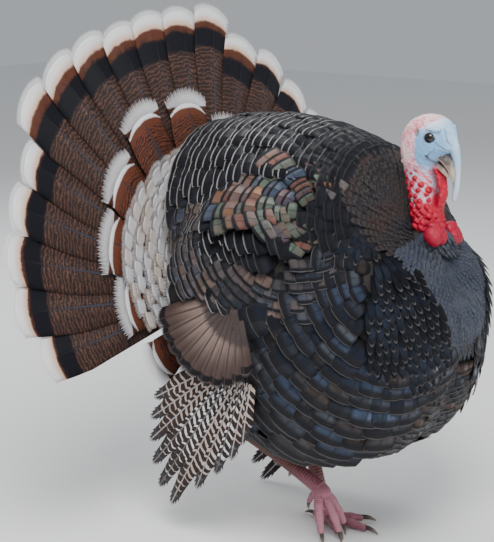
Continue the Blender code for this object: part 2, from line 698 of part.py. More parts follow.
def make_legs(parts, cutters, materials, trunk):
    """Both legs from the belly plumage down; the left thigh is wholly inside that plumage."""
    ground = floor_block(cutters)
    left = make_tarsus("left", LEFT_HOCK, LEFT_ANKLE, LEFT_SPUR_WAY, parts, cutters, materials)
    left_toes = [flat_toe(*toe) for toe in LEFT_TOES]
    make_foot("left", left, Vector((-0.001, 0.0, 0.0105)), (0.0150, 0.0145, 0.0125), left_toes,
              parts, cutters, materials, ground)
    fit_against(left, (trunk,), cutters)

    right = make_tarsus("right", RIGHT_HOCK, RIGHT_ANKLE, RIGHT_SPUR_WAY, parts, cutters, materials)
    right_toes = [hanging_toe(*toe) for toe in RIGHT_TOES]
    make_foot("right", right, RIGHT_KNUCKLE, (0.0120, 0.0125, 0.0125), right_toes,
              parts, cutters, materials, ground)
    below_hock = RIGHT_HOCK + (RIGHT_HOCK - RIGHT_THIGH_TOP) * 0.06
    thigh = tube_piece(
        "thigh_right", bend(RIGHT_THIGH_TOP, (RIGHT_THIGH_TOP + RIGHT_HOCK) / 2, below_hock, 4),
        THIGH_HALF_WIDTHS, THIGH_HALF_DEPTHS, Vector((0, 1, 0)), 12, parts, materials["plumage"],
    )
    fit_against(thigh, (trunk, right), cutters)


def make_tarsus(side, hock, ankle, spur_way, parts, cutters, materials):
    """Scaly tarsus with its spur."""
    tarsus = tube_piece(
        "tarsus_" + side, bend(hock, (hock + ankle) / 2, ankle, 4), TARSUS_HALF_WIDTHS, TARSUS_HALF_DEPTHS,
        Vector((0, 1, 0)), 12, parts, materials["leg"],
    )
    base = hock.lerp(ankle, SPUR_PLACE)
    spur = tube_piece(
        "spur_" + side, bend(base, base + spur_way * 0.016, base + spur_way * 0.028, 2),
        SPUR_RADII, SPUR_RADII, Vector((0.2, 1, 0.2)), 8, parts, materials["claw"], pointed=True,
    )
    fit_against(spur, (tarsus,), cutters)
    return tarsus


def main():
    """Build every piece in order; what carries a piece comes before it."""
    remove_everything()
    parts = new_collection("wild_turkey")
    cutters = new_collection("cutters")
    materials = {name: finish_material(name) for name in COLOURS}
    trunk, breast = make_body(parts, materials)
    make_tail(parts, materials)
    make_head_and_neck(parts, cutters, materials, breast)
    make_wing("right", -1.0, Vector((0, 0, 0)), 0.020, parts, materials)
    make_wing("left", 1.0, LEFT_WING_SHIFT, 0.100, parts, materials)
    make_legs(parts, cutters, materials, trunk)


main()
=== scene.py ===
"""Strutting wild turkey: the looks.

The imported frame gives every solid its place.  Here one skin takes the place of the flesh, and the
plumage, the bare head, the tail fan, the wings and the scaled feet are made over it.  Frame: +X is the
bird's heading, +Y its left side, +Z up, in metres.  A feather's own axes are its lie (root to tip),
its breadth and its face.
"""

import json
import math

import bmesh
import bpy
import numpy as np
from mathutils import Matrix, Vector
from mathutils.bvhtree import BVHTree
from mathutils.kdtree import KDTree

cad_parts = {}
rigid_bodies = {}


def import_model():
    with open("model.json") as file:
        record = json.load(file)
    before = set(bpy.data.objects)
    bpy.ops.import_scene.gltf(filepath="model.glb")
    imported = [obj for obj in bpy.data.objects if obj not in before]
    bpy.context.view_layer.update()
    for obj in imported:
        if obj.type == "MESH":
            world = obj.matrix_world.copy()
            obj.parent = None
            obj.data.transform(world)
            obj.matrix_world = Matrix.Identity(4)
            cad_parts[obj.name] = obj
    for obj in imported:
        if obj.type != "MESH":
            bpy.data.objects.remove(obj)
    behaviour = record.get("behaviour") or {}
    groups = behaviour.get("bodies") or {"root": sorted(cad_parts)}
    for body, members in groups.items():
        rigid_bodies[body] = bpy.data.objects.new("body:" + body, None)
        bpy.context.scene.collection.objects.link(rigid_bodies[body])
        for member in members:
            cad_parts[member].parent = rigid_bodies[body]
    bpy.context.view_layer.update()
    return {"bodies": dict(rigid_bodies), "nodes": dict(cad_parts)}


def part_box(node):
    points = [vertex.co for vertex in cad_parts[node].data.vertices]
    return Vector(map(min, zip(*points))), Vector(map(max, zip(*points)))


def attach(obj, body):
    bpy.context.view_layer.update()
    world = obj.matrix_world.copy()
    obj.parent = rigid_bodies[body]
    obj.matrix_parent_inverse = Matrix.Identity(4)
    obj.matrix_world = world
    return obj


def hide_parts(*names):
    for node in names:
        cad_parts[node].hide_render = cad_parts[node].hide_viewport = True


bl_info = {
    "name": "Strutting Wild Turkey",
    "version": (1, 0, 0),
    "blender": (4, 5, 0),
    "location": "3D View > Sidebar > Turkey",
    "description": "Dresses the solids of a displaying wild turkey in skin and plumage",
    "category": "Object",
}

for leftover in list(bpy.data.objects):
    bpy.data.objects.remove(leftover, do_unlink=True)
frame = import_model()
BODY = "root" if "root" in frame["bodies"] else list(frame["bodies"])[0]


# ---- numbers and vectors

def unit(vectors):
    """Vectors of length one along the last axis."""
    vectors = np.asarray(vectors, float)
    return vectors / np.maximum(np.linalg.norm(vectors, axis=-1, keepdims=True), 1e-12)


def ease(value, low=0.0, high=1.0):
    """0 below low, 1 above high, smooth between."""
    share = np.clip((np.asarray(value, float) - low) / (high - low), 0.0, 1.0)
    return share * share * (3.0 - 2.0 * share)


def between(ends, share):
    """The number at a share of the way from the first end to the second."""
    return ends[0] + (ends[1] - ends[0]) * share


def along_surface(vectors, normals):
    """The part of each vector that lies in its surface, at length one."""
    dots = np.sum(vectors * normals, axis=-1, keepdims=True)
    return unit(vectors - normals * dots)


def node_points(name):
    """A solid's corners as an array."""
    return np.array([v.co for v in frame["nodes"][name].data.vertices], float)


# ---- meshes and objects

def linked(name, data):
    """A new object in the scene."""
    piece = bpy.data.objects.new(name, data)
    bpy.context.scene.collection.objects.link(piece)
    return piece


def mesh_of(shell, name):
    """The mesh of a finished shell, which is freed."""
    mesh = bpy.data.meshes.new(name)
    shell.to_mesh(mesh)
    shell.free()
    return mesh


def store(mesh, name, values, kind="FLOAT"):
    """Stores numbers, whole numbers or vectors on the corners of a mesh."""
    layer = mesh.attributes.new(name, kind, "POINT")
    values = np.asarray(values, np.int32 if kind == "INT" else np.float32)
    layer.data.foreach_set("vector" if kind == "FLOAT_VECTOR" else "value", values.ravel())


def corners_of(mesh):
    """Vertex places and normals."""
    found = np.empty((2, len(mesh.vertices) * 3), np.float32)
    mesh.vertices.foreach_get("co", found[0])
    mesh.vertices.foreach_get("normal", found[1])
    return found.reshape(2, -1, 3).astype(float)


def set_corners(mesh, places):
    """Moves every vertex."""
    mesh.vertices.foreach_set("co", places.astype(np.float32).ravel())
    mesh.update()


def tree_of(node):
    """A solid as a tree for finding its nearest or first met point."""
    return BVHTree.FromObject(frame["nodes"][node], bpy.context.evaluated_depsgraph_get())


# ---- finishes

class Wire:
    """A shader value; sums and products of it add Math nodes to its finish."""

    def __init__(self, finish, socket):
        self.finish = finish
        self.socket = socket

    def math(self, operation, first, second):
        """A Math node of two values."""
        return self.finish.node("Math", {"operation": operation}, {0: first, 1: second})

    def __add__(self, other):
        return self.math("ADD", self, other)

    def __radd__(self, other):
        return self.math("ADD", other, self)

    def __sub__(self, other):
        return self.math("SUBTRACT", self, other)

    def __rsub__(self, other):
        return self.math("SUBTRACT", other, self)

    def __mul__(self, other):
        return self.math("MULTIPLY", self, other)

    def __rmul__(self, other):
        return self.math("MULTIPLY", other, self)

    def __truediv__(self, other):
        return self.math("DIVIDE", self, other)


class Finish:
    """A material under construction around one Principled shader."""

    def __init__(self, name, **constants):
        self.material = bpy.data.materials.new(name)
        self.material.use_nodes = True
        self.tree = self.material.node_tree
        self.shader = self.tree.nodes["Principled BSDF"]
        for socket, value in constants.items():
            self.shader.inputs[socket.replace("_", " ")].default_value = value

    def node(self, kind, settings=(), sockets=(), output=0):
        """Adds any node: its settings first, then values or links for its sockets."""
        made = self.tree.nodes.new("ShaderNode" + kind)
        for name, value in dict(settings).items():
            if name == "stops":
                self.set_stops(made.color_ramp, value)
            else:
                setattr(made, name, value)
        for key, value in dict(sockets).items():
            if isinstance(value, Wire):
                self.tree.links.new(value.socket, made.inputs[key])
            else:
                made.inputs[key].default_value = value
        return Wire(self, made.outputs[output])

    @staticmethod
    def set_stops(ramp, stops):
        """Stops of a colour ramp as (place, colour)."""
        while len(ramp.elements) < len(stops):
            ramp.elements.new(1.0)
        for element, (place, colour) in zip(ramp.elements, stops):
            element.position = place
            element.color = (*colour, 1.0)

    def mix(self, share, first, second, blend="MIX"):
        """Mixed colours; a plain colour is three numbers."""
        first = first if isinstance(first, Wire) else (*first, 1.0)
        second = second if isinstance(second, Wire) else (*second, 1.0)
        settings = {"data_type": "RGBA", "blend_type": blend, "clamp_factor": True}
        return self.node("Mix", settings, {0: share, 6: first, 7: second}, 2)

    def step(self, value, low, high):
        """0 below low and 1 above high, smooth between; low may be the greater."""
        settings = {"interpolation_type": "SMOOTHSTEP"}
        if low > high:
            return 1.0 - self.node("MapRange", settings, {0: value, 1: high, 2: low})
        return self.node("MapRange", settings, {0: value, 1: low, 2: high})

    def band(self, value, start, stop, soft):
        """1 between start and stop."""
        return self.step(value, start - soft, start + soft) * self.step(value, stop + soft, stop - soft)

    def attribute(self, name):
        """A number stored on the mesh."""
        return self.node("Attribute", {"attribute_name": name}, output=2)

    def parts(self, vector):
        """The three numbers of a vector."""
        node = self.node("SeparateXYZ", (), {0: vector}).socket.node
        return [Wire(self, output) for output in node.outputs]

    def vector(self, x, y, z):
        """A vector of three numbers."""
        return self.node("CombineXYZ", (), {0: x, 1: y, 2: z})

    def vane(self):
        """Breadth (0 to 1) and length (0 at the root to 1 at the tip) of a feather."""
        return self.parts(self.node("UVMap", {"uv_map": "vane"}))[:2]

    def object_place(self):
        """Object coordinates."""
        return self.node("TexCoord", output=3)

    def absolute(self, value):
        """A number without its sign."""
        return self.node("Math", {"operation": "ABSOLUTE"}, {0: value})

    def wave(self, value):
        """The sine of a number."""
        return self.node("Math", {"operation": "SINE"}, {0: value})

    def cells(self, scale, feature="DISTANCE_TO_EDGE", **sockets):
        """Distances in a pattern of cells."""
        sockets.update(Vector=self.object_place(), Scale=scale)
        return self.node("TexVoronoi", {"feature": feature}, sockets)

    def noise(self, scale, detail=2.0, place=None):
        """Smooth noise from 0 to 1."""
        sockets = {"Vector": place or self.object_place(), "Scale": scale, "Detail": detail}
        return self.node("TexNoise", (), sockets)

    def set(self, **wires):
        """Feeds the shader's varying sockets."""
        for socket, value in wires.items():
            self.tree.links.new(value.socket, self.shader.inputs[socket.replace("_", " ")])

    def bump(self, height, distance, strength=1.0):
        """Feeds a relief to the normal: a height of one stands distance metres proud."""
        sockets = {"Height": height, "Distance": distance, "Strength": strength}
        self.set(Normal=self.node("Bump", (), sockets))


# ---- feathers as closed blades

def blade_faces(rows, columns):
    """Quads of a closed blade: a top grid, a bottom grid and the rim that joins them."""
    top = np.arange(rows * columns).reshape(rows, columns)
    low = top + rows * columns
    quads = []
    for r in range(rows - 1):
        for c in range(columns - 1):
            quads.append((top[r, c], top[r, c + 1], top[r + 1, c + 1], top[r + 1, c]))
            quads.append((low[r, c], low[r + 1, c], low[r + 1, c + 1], low[r, c + 1]))
    for r in range(rows - 1):
        quads.append((top[r, 0], top[r + 1, 0], low[r + 1, 0], low[r, 0]))
        quads.append((top[r + 1, -1], top[r, -1], low[r, -1], low[r + 1, -1]))
    for c in range(columns - 1):
        quads.append((top[0, c + 1], top[0, c], low[0, c], low[0, c + 1]))
        quads.append((top[-1, c], top[-1, c + 1], low[-1, c + 1], low[-1, c]))
    return np.array(quads)


class Quills:
    """Gathers many separate blades and barbs into one mesh."""

    def __init__(self):
        self.points = []
        self.faces = []
        self.vane = []
        self.bake = []
        self.tone = []
        self.place = []
        self.count = 0

    def add(self, points, quads, vane, bake, tone, place):
        """One closed body: its points, quads, vane and OFBake places, its tone and its places in metres."""
        self.points.append(points)
        self.faces.append(quads + self.count)
        self.vane.append(vane)
        self.bake.append(bake)
        self.tone.append(np.full(len(points), tone))
        self.place.append(place)
        self.count += len(points)

    def build(self, name, finish, replaced=()):
        """The gathered bodies as one piece riding on the bird."""
        points = np.concatenate(self.points)
        points[:, 2] = np.maximum(points[:, 2], 0.0)
        quads = np.concatenate(self.faces)
        mesh = bpy.data.meshes.new(name)
        mesh.vertices.add(len(points))
        mesh.vertices.foreach_set("co", points.astype(np.float32).ravel())
        mesh.loops.add(quads.size)
        mesh.loops.foreach_set("vertex_index", quads.astype(np.int32).ravel())
        mesh.polygons.add(len(quads))
        mesh.polygons.foreach_set("loop_start", np.arange(0, quads.size, 4, dtype=np.int32))
        corners = quads.ravel()
        for layer, values in (("vane", self.vane), ("OFBake", self.bake)):
            uv = mesh.uv_layers.new(name=layer)
            uv.data.foreach_set("uv", np.concatenate(values)[corners].astype(np.float32).ravel())
        store(mesh, "tone", np.concatenate(self.tone))
        store(mesh, "blade_place", np.concatenate(self.place), "FLOAT_VECTOR")
        mesh.update()
        mesh.validate()
        mesh.shade_smooth()
        finished_piece(name, mesh, finish, replaced)


def finished_piece(name, mesh, finish, replaced=()):
    """A mesh as a piece of the bird: linked, given its finish and riding on the body."""
    piece = linked(name, mesh)
    mesh.materials.clear()
    mesh.materials.append(finish)
    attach(piece, BODY)
    if replaced:
        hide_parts(*replaced)


def blade_points(spine, across, face, half_widths, columns, camber, thick, tip_round=0.0):
    """One closed blade: corners, (breadth, length) from 0 to 1, and metres (across, from tip, from root)."""
    side = np.linspace(-1.0, 1.0, columns)
    steps = np.linalg.norm(np.diff(spine, axis=0), axis=1)
    run = np.concatenate([[0.0], np.cumsum(steps)])
    share = run / run[-1]
    reach = side[None, :] * half_widths[:, None]
    middle = spine[:, None] + across[:, None] * reach[..., None]
    middle -= face[:, None] * (camber * side[None, :] ** 2 * half_widths[:, None])[..., None]
    if tip_round:
        forward = unit(np.gradient(spine, axis=0))
        back = tip_round * np.abs(side[None, :]) ** 2.4 * share[:, None] ** 5
        middle -= forward[:, None] * back[..., None]
    wall = 0.5 * thick * (1.0 - 0.75 * side[None, :] ** 2) * (1.0 - 0.55 * share[:, None])
    lift = face[:, None] * wall[..., None]
    points = np.concatenate([(middle + lift).reshape(-1, 3), (middle - lift).reshape(-1, 3)])
    breadth, length, run = np.broadcast_arrays((side[None, :] + 1.0) / 2.0, share[:, None], run[:, None])
    vane = np.stack([breadth, length], -1).reshape(-1, 2)
    place = np.stack([reach, run[-1, 0] - run, run], -1).reshape(-1, 3)
    return points, np.tile(vane, (2, 1)), np.tile(place, (2, 1))


# ---- the skin under the coat

class Hide:
    """The skin as a surface that feathers are rooted on."""

    def __init__(self, piece):
        mesh = piece.data
        mesh.calc_loop_triangles()
        self.corners = np.array([v.co for v in mesh.vertices], float)
        self.normals = np.array([v.normal for v in mesh.vertices], float)
        self.triangles = [tuple(t.vertices) for t in mesh.loop_triangles]
        self.tree = BVHTree.FromPolygons([v.co for v in mesh.vertices], self.triangles)

    def nearest(self, point):
        """Closest point of the skin and its smooth normal."""
        place, _, index, _ = self.tree.find_nearest(Vector(point))
        corners = list(self.triangles[index])
        place = np.array(place)
        gaps = np.linalg.norm(self.corners[corners] - place, axis=1)
        weights = 1.0 / (gaps + 1e-6)
        return place, unit((self.normals[corners] * weights[:, None]).sum(0))

    def beside(self, place, side):
        """Where a level line from one side of the bird meets the skin, and the normal there."""
        hit, _, _, _ = self.tree.ray_cast(Vector((place[0], side, place[2])), Vector((0.0, -side, 0.0)))
        return self.nearest(hit if hit else place)

    def walk(self, start, heading, stride, count):
        """Points, lies and normals along a straight walk over the skin."""
        point, normal = self.nearest(start)
        lie = along_surface(np.asarray(heading, float), normal)
        trail = [(point, lie, normal)]
        for _ in range(count):
            point, normal = self.nearest(point + lie * stride)
            lie = along_surface(lie, normal)
            trail.append((point, lie, normal))
        return np.array(trail)


class Tract:
    """One patch of plumage whose rows are rings about a centre on the skin.

    Turns are degrees about the centre: 0 towards the tail, 90 up (or to the left, for a centre on the
    middle plane), 180 towards the breast.  limits is rows of (turn, nearest ring, farthest ring);
    spacing and breadth are those of the first and the last ring.  A flat tract's rings lie in the
    wing's plane.  It covers other tracts only beyond outer and above lowest, and grows below highest.
    """

    STRIDE = 0.004
    RAYS = 144
    UNWRAP = 2.1
    PATCH = 0.62

    def __init__(self, name, centre, limits, spacing, breadth, side=1.0, flat=False,
                 outer=0.0, lowest=0.0, highest=1.0):
        self.name = name
        self.centre = np.array((centre[0], centre[1] * side, centre[2]))
        self.limits = np.array(limits, float)
        self.far = self.limits[:, 2].max()
        self.spacing = spacing
        self.breadth = breadth
        self.side = side
        self.flat = flat
        self.outer = outer
        self.lowest = lowest
        self.highest = highest

    def axes(self, normal):
        """Directions of turns 0 and 90 at the centre."""
        if self.flat:
            return np.array((-1.0, 0.0, 0.0)), np.array((0.0, 0.0, 1.0))
        back = along_surface(np.array((-1.0, 0.0, 0.0)), normal)
        up = np.array((0.0, 0.0, 1.0)) if abs(self.centre[1]) > 0.01 else np.array((0.0, 1.0, 0.0))
        up = unit(up - normal * up.dot(normal) - back * up.dot(back))
        return back, up

    def limit(self, turns, column):
        """Nearest or farthest ring at each turn."""
        return np.interp(turns, self.limits[:, 0], self.limits[:, column])

    def patch(self, spacing):
        """Size of a feather's place on the OFBake map, a little under the gap between rows."""
        return self.PATCH * spacing / (self.UNWRAP * self.far)

    def covers(self, points, hide):
        """Which points lie in this tract, by their chord from the centre."""
        _, normal = hide.nearest(self.centre)
        back, up = self.axes(normal)
        gap = points - self.centre
        if self.flat:
            gap = gap * (1.0, 0.0, 1.0)
        distance = np.linalg.norm(gap, axis=1) + (points[:, 1] * self.centre[1] < 0) * 9.0
        turns = np.degrees(np.arctan2(gap @ up, gap @ back))
        turns = np.where(turns < self.limits[0, 0], turns + 360.0, turns)
        inside = (turns >= self.limits[0, 0]) & (turns <= self.limits[-1, 0])
        inside &= (np.abs(points[:, 1]) >= self.outer) & (points[:, 2] >= self.lowest)
        return inside & (distance > self.limit(turns, 1)) & (distance < self.limit(turns, 2))

    def trails(self, hide):
        """Turns about the centre, and the points, lies and normals on a walk over the skin at each."""
        _, normal = hide.nearest(self.centre)
        back, up = self.axes(normal)
        turns = np.linspace(self.limits[0, 0], self.limits[-1, 0], self.RAYS)
        count = int(self.far / self.STRIDE) + 2
        trails = []
        for turn in turns:
            angle = math.radians(turn)
            heading = back * math.cos(angle) + up * math.sin(angle)
            if self.flat:
                line = [self.centre + heading * self.STRIDE * k for k in range(count + 1)]
                steps = (hide.beside(spot, self.side) for spot in line)
                trails.append([(place, along_surface(heading, normal), normal) for place, normal in steps])
            else:
                trails.append(hide.walk(self.centre, heading, self.STRIDE, count))
        return turns, np.array(trails)

    def roots(self, hide, masters, draw):
        """Places, lies, normals, ring shares and unwrapped places of feathers where no master covers them."""
        turns, trails = self.trails(hide)
        start = ring = max(self.limits[:, 1].min(), self.STRIDE)
        odd = 0.0
        rows = []
        while ring < self.far:
            share = (ring - start) / max(self.far - start, 1e-6)
            step = ring / self.STRIDE
            low = int(step)
            blend = step - low
            circle = trails[:, low] * (1 - blend) + trails[:, low + 1] * blend
            gaps = np.linalg.norm(np.diff(circle[:, 0], axis=0), axis=1)
            run = np.concatenate([[0.0], np.cumsum(gaps)])
            feathers = max(int(run[-1] / between(self.breadth, share)), 1)
            at = (np.arange(feathers) + 0.25 + odd + draw.uniform(-0.10, 0.10, feathers)) / feathers * run[-1]
            index = np.interp(at, run, np.arange(len(run)))
            base = np.minimum(index.astype(int), len(run) - 2)
            part = (index - base)[:, None, None]
            found = circle[base] * (1 - part) + circle[base + 1] * part
            angle = turns[base] + (turns[base + 1] - turns[base]) * part[:, 0, 0]
            keep = (ring >= self.limit(angle, 1)) & (ring <= self.limit(angle, 2))
            keep &= found[:, 0, 2] < self.highest
            for master in masters:
                keep &= ~master.covers(found[:, 0], hide)
            way = np.stack([np.cos(np.radians(angle)), np.sin(np.radians(angle))], 1)
            unwrap = 0.5 + ring / (self.UNWRAP * self.far) * way
            rows.append((found[keep], np.full(keep.sum(), share), unwrap[keep]))
            odd = 0.5 - odd
            ring += between(self.spacing, share)
        found, shares, unwrap = (np.concatenate(column) for column in zip(*rows))
        return found[:, 0], unit(found[:, 1]), unit(found[:, 2]), shares, unwrap


class Planted:
    """Ground that feathers already stand on."""

    def __init__(self, places, reach):
        self.tree = KDTree(len(places))
        for i, place in enumerate(places):
            self.tree.insert(Vector(place), i)
        self.tree.balance()
        self.reach = reach

    def covers(self, points, hide):
        """Which points are within reach of a feather's root."""
        return np.array([self.tree.find(Vector(point))[2] < self.reach for point in points])


# ---- feathers set by Geometry Nodes

def vane_template(name, shape):
    """A feather one long and one broad, rising from the skin along +X, its face +Z."""
    rows, columns = shape["rows"], shape["columns"]
    length = 1.0 - (1.0 - np.linspace(0.0, 1.0, rows)) ** 1.4
    side = np.linspace(-1.0, 1.0, columns)
    half = 0.5 * (shape["root"] + (1.0 - shape["root"]) * ease(length, 0.0, shape["shoulder"]))
    half *= 1.0 - shape["taper"] * ease(length, shape["shoulder"], 1.0)
    rise = shape["rise"] * (1.0 - (1.0 - length) ** 2) - shape["follow"] * length**2
    x = length[:, None] - shape["round"] * np.abs(side[None, :]) ** 2.4 * length[:, None] ** 4
    y = half[:, None] * side[None, :]
    z = rise[:, None] - shape["camber"] * side[None, :] ** 2 * length[:, None]
    wall = shape["thick"] * (1.0 - 0.8 * side[None, :] ** 2) * (1.0 - 0.5 * length[:, None])
    upper, under = np.stack([x, y, z + wall], -1), np.stack([x, y, z - wall], -1)
    points = np.stack([upper, under]).reshape(-1, 3).tolist()
    vane = np.stack(np.broadcast_arrays((side[None, :] + 1) / 2, length[:, None]), -1)
    places = vane.reshape(-1, 2).tolist() * 2
    faces = blade_faces(rows, columns).tolist()
    for k in range(shape.get("barbs", 0)):
        u = -0.94 + 1.88 * k / (shape["barbs"] - 1)
        reach = shape["barb_length"] * (1.0 - 0.35 * abs(u))
        width = 0.40 / shape["barbs"]
        tip_x = 0.97 - shape["round"] * abs(u) ** 2.4
        y0 = half[-1] * u
        z0 = rise[-1] - shape["camber"] * u * u
        splay = shape["splay"] * u * reach
        first = len(points)
        points += [(tip_x, y0 - width, z0), (tip_x, y0 + width, z0), (tip_x, y0, z0 - shape["thick"])]
        points.append((tip_x + reach, y0 + splay, z0 - reach * shape["follow"]))
        places += [((u + 1) / 2, 0.985)] * 3 + [((u + 1) / 2, 1.0)]
        faces += [(first, first + 1, first + 3), (first + 1, first + 2, first + 3),
                  (first + 2, first, first + 3), (first, first + 2, first + 1)]
    mesh = bpy.data.meshes.new(name)
    mesh.from_pydata(points, [], faces)
    layer = mesh.uv_layers.new(name="vane")
    for loop in mesh.loops:
        layer.data[loop.index].uv = places[loop.vertex_index]
    mesh.shade_smooth()
    return bpy.data.objects.new(name, mesh)


class CoatTree:
    """Geometry Nodes that set one feather on each root, turn it to its lie and realize it."""

    INPUTS = (
        ("Vanes", "NodeSocketCollection", None),
        ("Size Variation", "NodeSocketFloat", 0.08),
        ("Turn Variation", "NodeSocketFloat", 0.06),
        ("Patch", "NodeSocketFloat", 0.003),
        ("Seed", "NodeSocketInt", 0),
        ("Finish", "NodeSocketMaterial", None),
    )

    def __init__(self):
        self.group = bpy.data.node_groups.new("feather coat", "GeometryNodeTree")
        face = self.group.interface
        face.new_socket("Roots", in_out="INPUT", socket_type="NodeSocketGeometry")
        self.keys = {}
        for name, kind, default in self.INPUTS:
            socket = face.new_socket(name, in_out="INPUT", socket_type=kind)
            if default is not None:
                socket.default_value = default
            self.keys[name] = socket.identifier
        face.new_socket("Coat", in_out="OUTPUT", socket_type="NodeSocketGeometry")
        given = self.group.nodes.new("NodeGroupInput").outputs
        lie = self.stored("lie", "FLOAT_VECTOR")
        stand = self.stored("stand", "FLOAT_VECTOR")
        turn = self.node("FunctionNodeAxesToRotation", {"primary_axis": "X", "secondary_axis": "Z"},
                         {0: lie, 1: stand})
        jitter = self.random(given, "Turn Variation", 1)
        about = self.node("FunctionNodeAxisAngleToRotation", {}, {0: (0.4, 0.3, 1.0), 1: jitter})
        turn = self.node("FunctionNodeRotateRotation", {"rotation_space": "LOCAL"}, {0: turn, 1: about})
        grow = self.random(given, "Size Variation", 2)
        grow = self.node("ShaderNodeMath", {"operation": "ADD"}, {0: 1.0, 1: grow})
        size = self.stored("size", "FLOAT_VECTOR")
        size = self.node("ShaderNodeVectorMath", {"operation": "SCALE"}, {0: size, 3: grow})
        vanes = self.node("GeometryNodeCollectionInfo", {"transform_space": "ORIGINAL"},
                          {0: given["Vanes"], 1: True, 2: True})
        placed = self.node("GeometryNodeInstanceOnPoints", {}, {
            0: given["Roots"], 2: vanes, 3: True, 4: self.stored("kind", "INT"), 5: turn, 6: size,
        })
        real = self.node("GeometryNodeRealizeInstances", {}, {0: placed})
        vane = self.stored("vane", "FLOAT_VECTOR")
        spot = self.node("ShaderNodeVectorMath", {"operation": "SUBTRACT"}, {0: vane, 1: (0.5, 0.5, 0.0)})
        spot = self.node("ShaderNodeVectorMath", {"operation": "SCALE"}, {0: spot, 3: given["Patch"]})
        unwrap = self.stored("unwrap", "FLOAT_VECTOR")
        spot = self.node("ShaderNodeVectorMath", {"operation": "ADD"}, {0: unwrap, 1: spot})
        mapped = self.node("GeometryNodeStoreNamedAttribute", {"data_type": "FLOAT2", "domain": "CORNER"},
                           {0: real, 2: "OFBake", 3: spot})
        done = self.node("GeometryNodeSetMaterial", {}, {0: mapped, 2: given["Finish"]})
        output = self.group.nodes.new("NodeGroupOutput")
        self.group.links.new(done, output.inputs[0])

    def node(self, kind, settings, sockets):
        """Adds a node and gives its first output."""
        made = self.group.nodes.new(kind)
        for name, value in settings.items():
            setattr(made, name, value)
        for key, value in sockets.items():
            if isinstance(value, bpy.types.NodeSocket):
                self.group.links.new(value, made.inputs[key])
            else:
                made.inputs[key].default_value = value
        return next(socket for socket in made.outputs if socket.enabled)

    def stored(self, name, kind):
        """An attribute stored on the roots or the feathers."""
        return self.node("GeometryNodeInputNamedAttribute", {"data_type": kind}, {0: name})

    def random(self, given, span, offset):
        """A number between minus and plus one of the inputs, different for each root."""
        low = self.node("ShaderNodeMath", {"operation": "MULTIPLY"}, {0: given[span], 1: -1.0})
        seed = self.node("ShaderNodeMath", {"operation": "ADD"}, {0: given["Seed"], 1: float(offset)})
        return self.node("FunctionNodeRandomValue", {"data_type": "FLOAT"}, {2: low, 3: given[span], 8: seed})

    def grow(self, name, roots, vanes, finish, patch, seed, vary=(0.08, 0.06)):
        """Sets the feathers on a mesh of roots and returns them as one plain mesh."""
        piece = linked(name + " roots", roots)
        bpy.context.scene.collection.children.link(vanes)
        coat = piece.modifiers.new("coat", "NODES")
        coat.node_group = self.group
        values = (vanes, vary[0], vary[1], patch, seed, finish)
        for (label, _, _), value in zip(self.INPUTS, values):
            coat[self.keys[label]] = value
        bpy.context.view_layer.update()
        evaluated = piece.evaluated_get(bpy.context.evaluated_depsgraph_get())
        mesh = bpy.data.meshes.new_from_object(evaluated)
        mesh.name = name
        piece.modifiers.remove(coat)
        bpy.data.objects.remove(piece, do_unlink=True)
        for template in list(vanes.objects):
            bpy.data.objects.remove(template, do_unlink=True)
        bpy.data.collections.remove(vanes)
        return mesh


def roots_mesh(name, places, lies, stands, sizes, unwrap, tones, kinds):
    """A mesh of loose corners that carries what the coat tree reads."""
    mesh = bpy.data.meshes.new(name)
    mesh.vertices.add(len(places))
    mesh.vertices.foreach_set("co", places.astype(np.float32).ravel())
    flat = np.zeros((len(places), 3))
    flat[:, :2] = unwrap
    for label, values in (("lie", lies), ("stand", stands), ("size", sizes), ("unwrap", flat)):
        store(mesh, label, values, "FLOAT_VECTOR")
    store(mesh, "tone", tones)
    store(mesh, "kind", kinds, "INT")
    return mesh


# ---- the skin

FLESH = ("trunk", "breast", "thigh_right", "wing_left", "wing_right", "tail_root")
BARE = ("head", "neck", "snood", "wattle", "caruncle_left", "caruncle_right")


def joined_copy(name, nodes):
    """Copies of solids, their doubled corners merged, in one object."""
    shell = bmesh.new()
    for node in nodes:
        shell.from_mesh(frame["nodes"][node].data)
    bmesh.ops.remove_doubles(shell, verts=shell.verts, dist=1e-5)
    return linked(name, mesh_of(shell, name))


def with_modifiers_applied(piece):
    """The evaluated shape takes the place of a piece's mesh, and its modifiers go."""
    bpy.context.view_layer.update()
    mesh = bpy.data.meshes.new_from_object(piece.evaluated_get(bpy.context.evaluated_depsgraph_get()))
    piece.modifiers.clear()
    piece.data = mesh
    return piece


def fused(piece, voxel, rounds, factor=0.5):
    """One even surface over overlapping or nearly touching shells, then smoothed."""
    remesh = piece.modifiers.new("fuse", "REMESH")
    remesh.mode = "VOXEL"
    remesh.voxel_size = voxel
    remesh.use_smooth_shade = True
    soften = piece.modifiers.new("soften", "SMOOTH")
    soften.factor = factor
    soften.iterations = rounds
    return with_modifiers_applied(piece)


WEB_TURNS = (-20.0, 120.0)
WEB_REACH = 0.145
WEB_THICK = 0.02
ARM_FROM = (0.196, 0.206)
ARM_OUTER_DEPTH = 0.0085
ARM_INNER_DEPTH = 0.0020
BODY_VOXEL = 0.0065
BARE_VOXEL = 0.0014


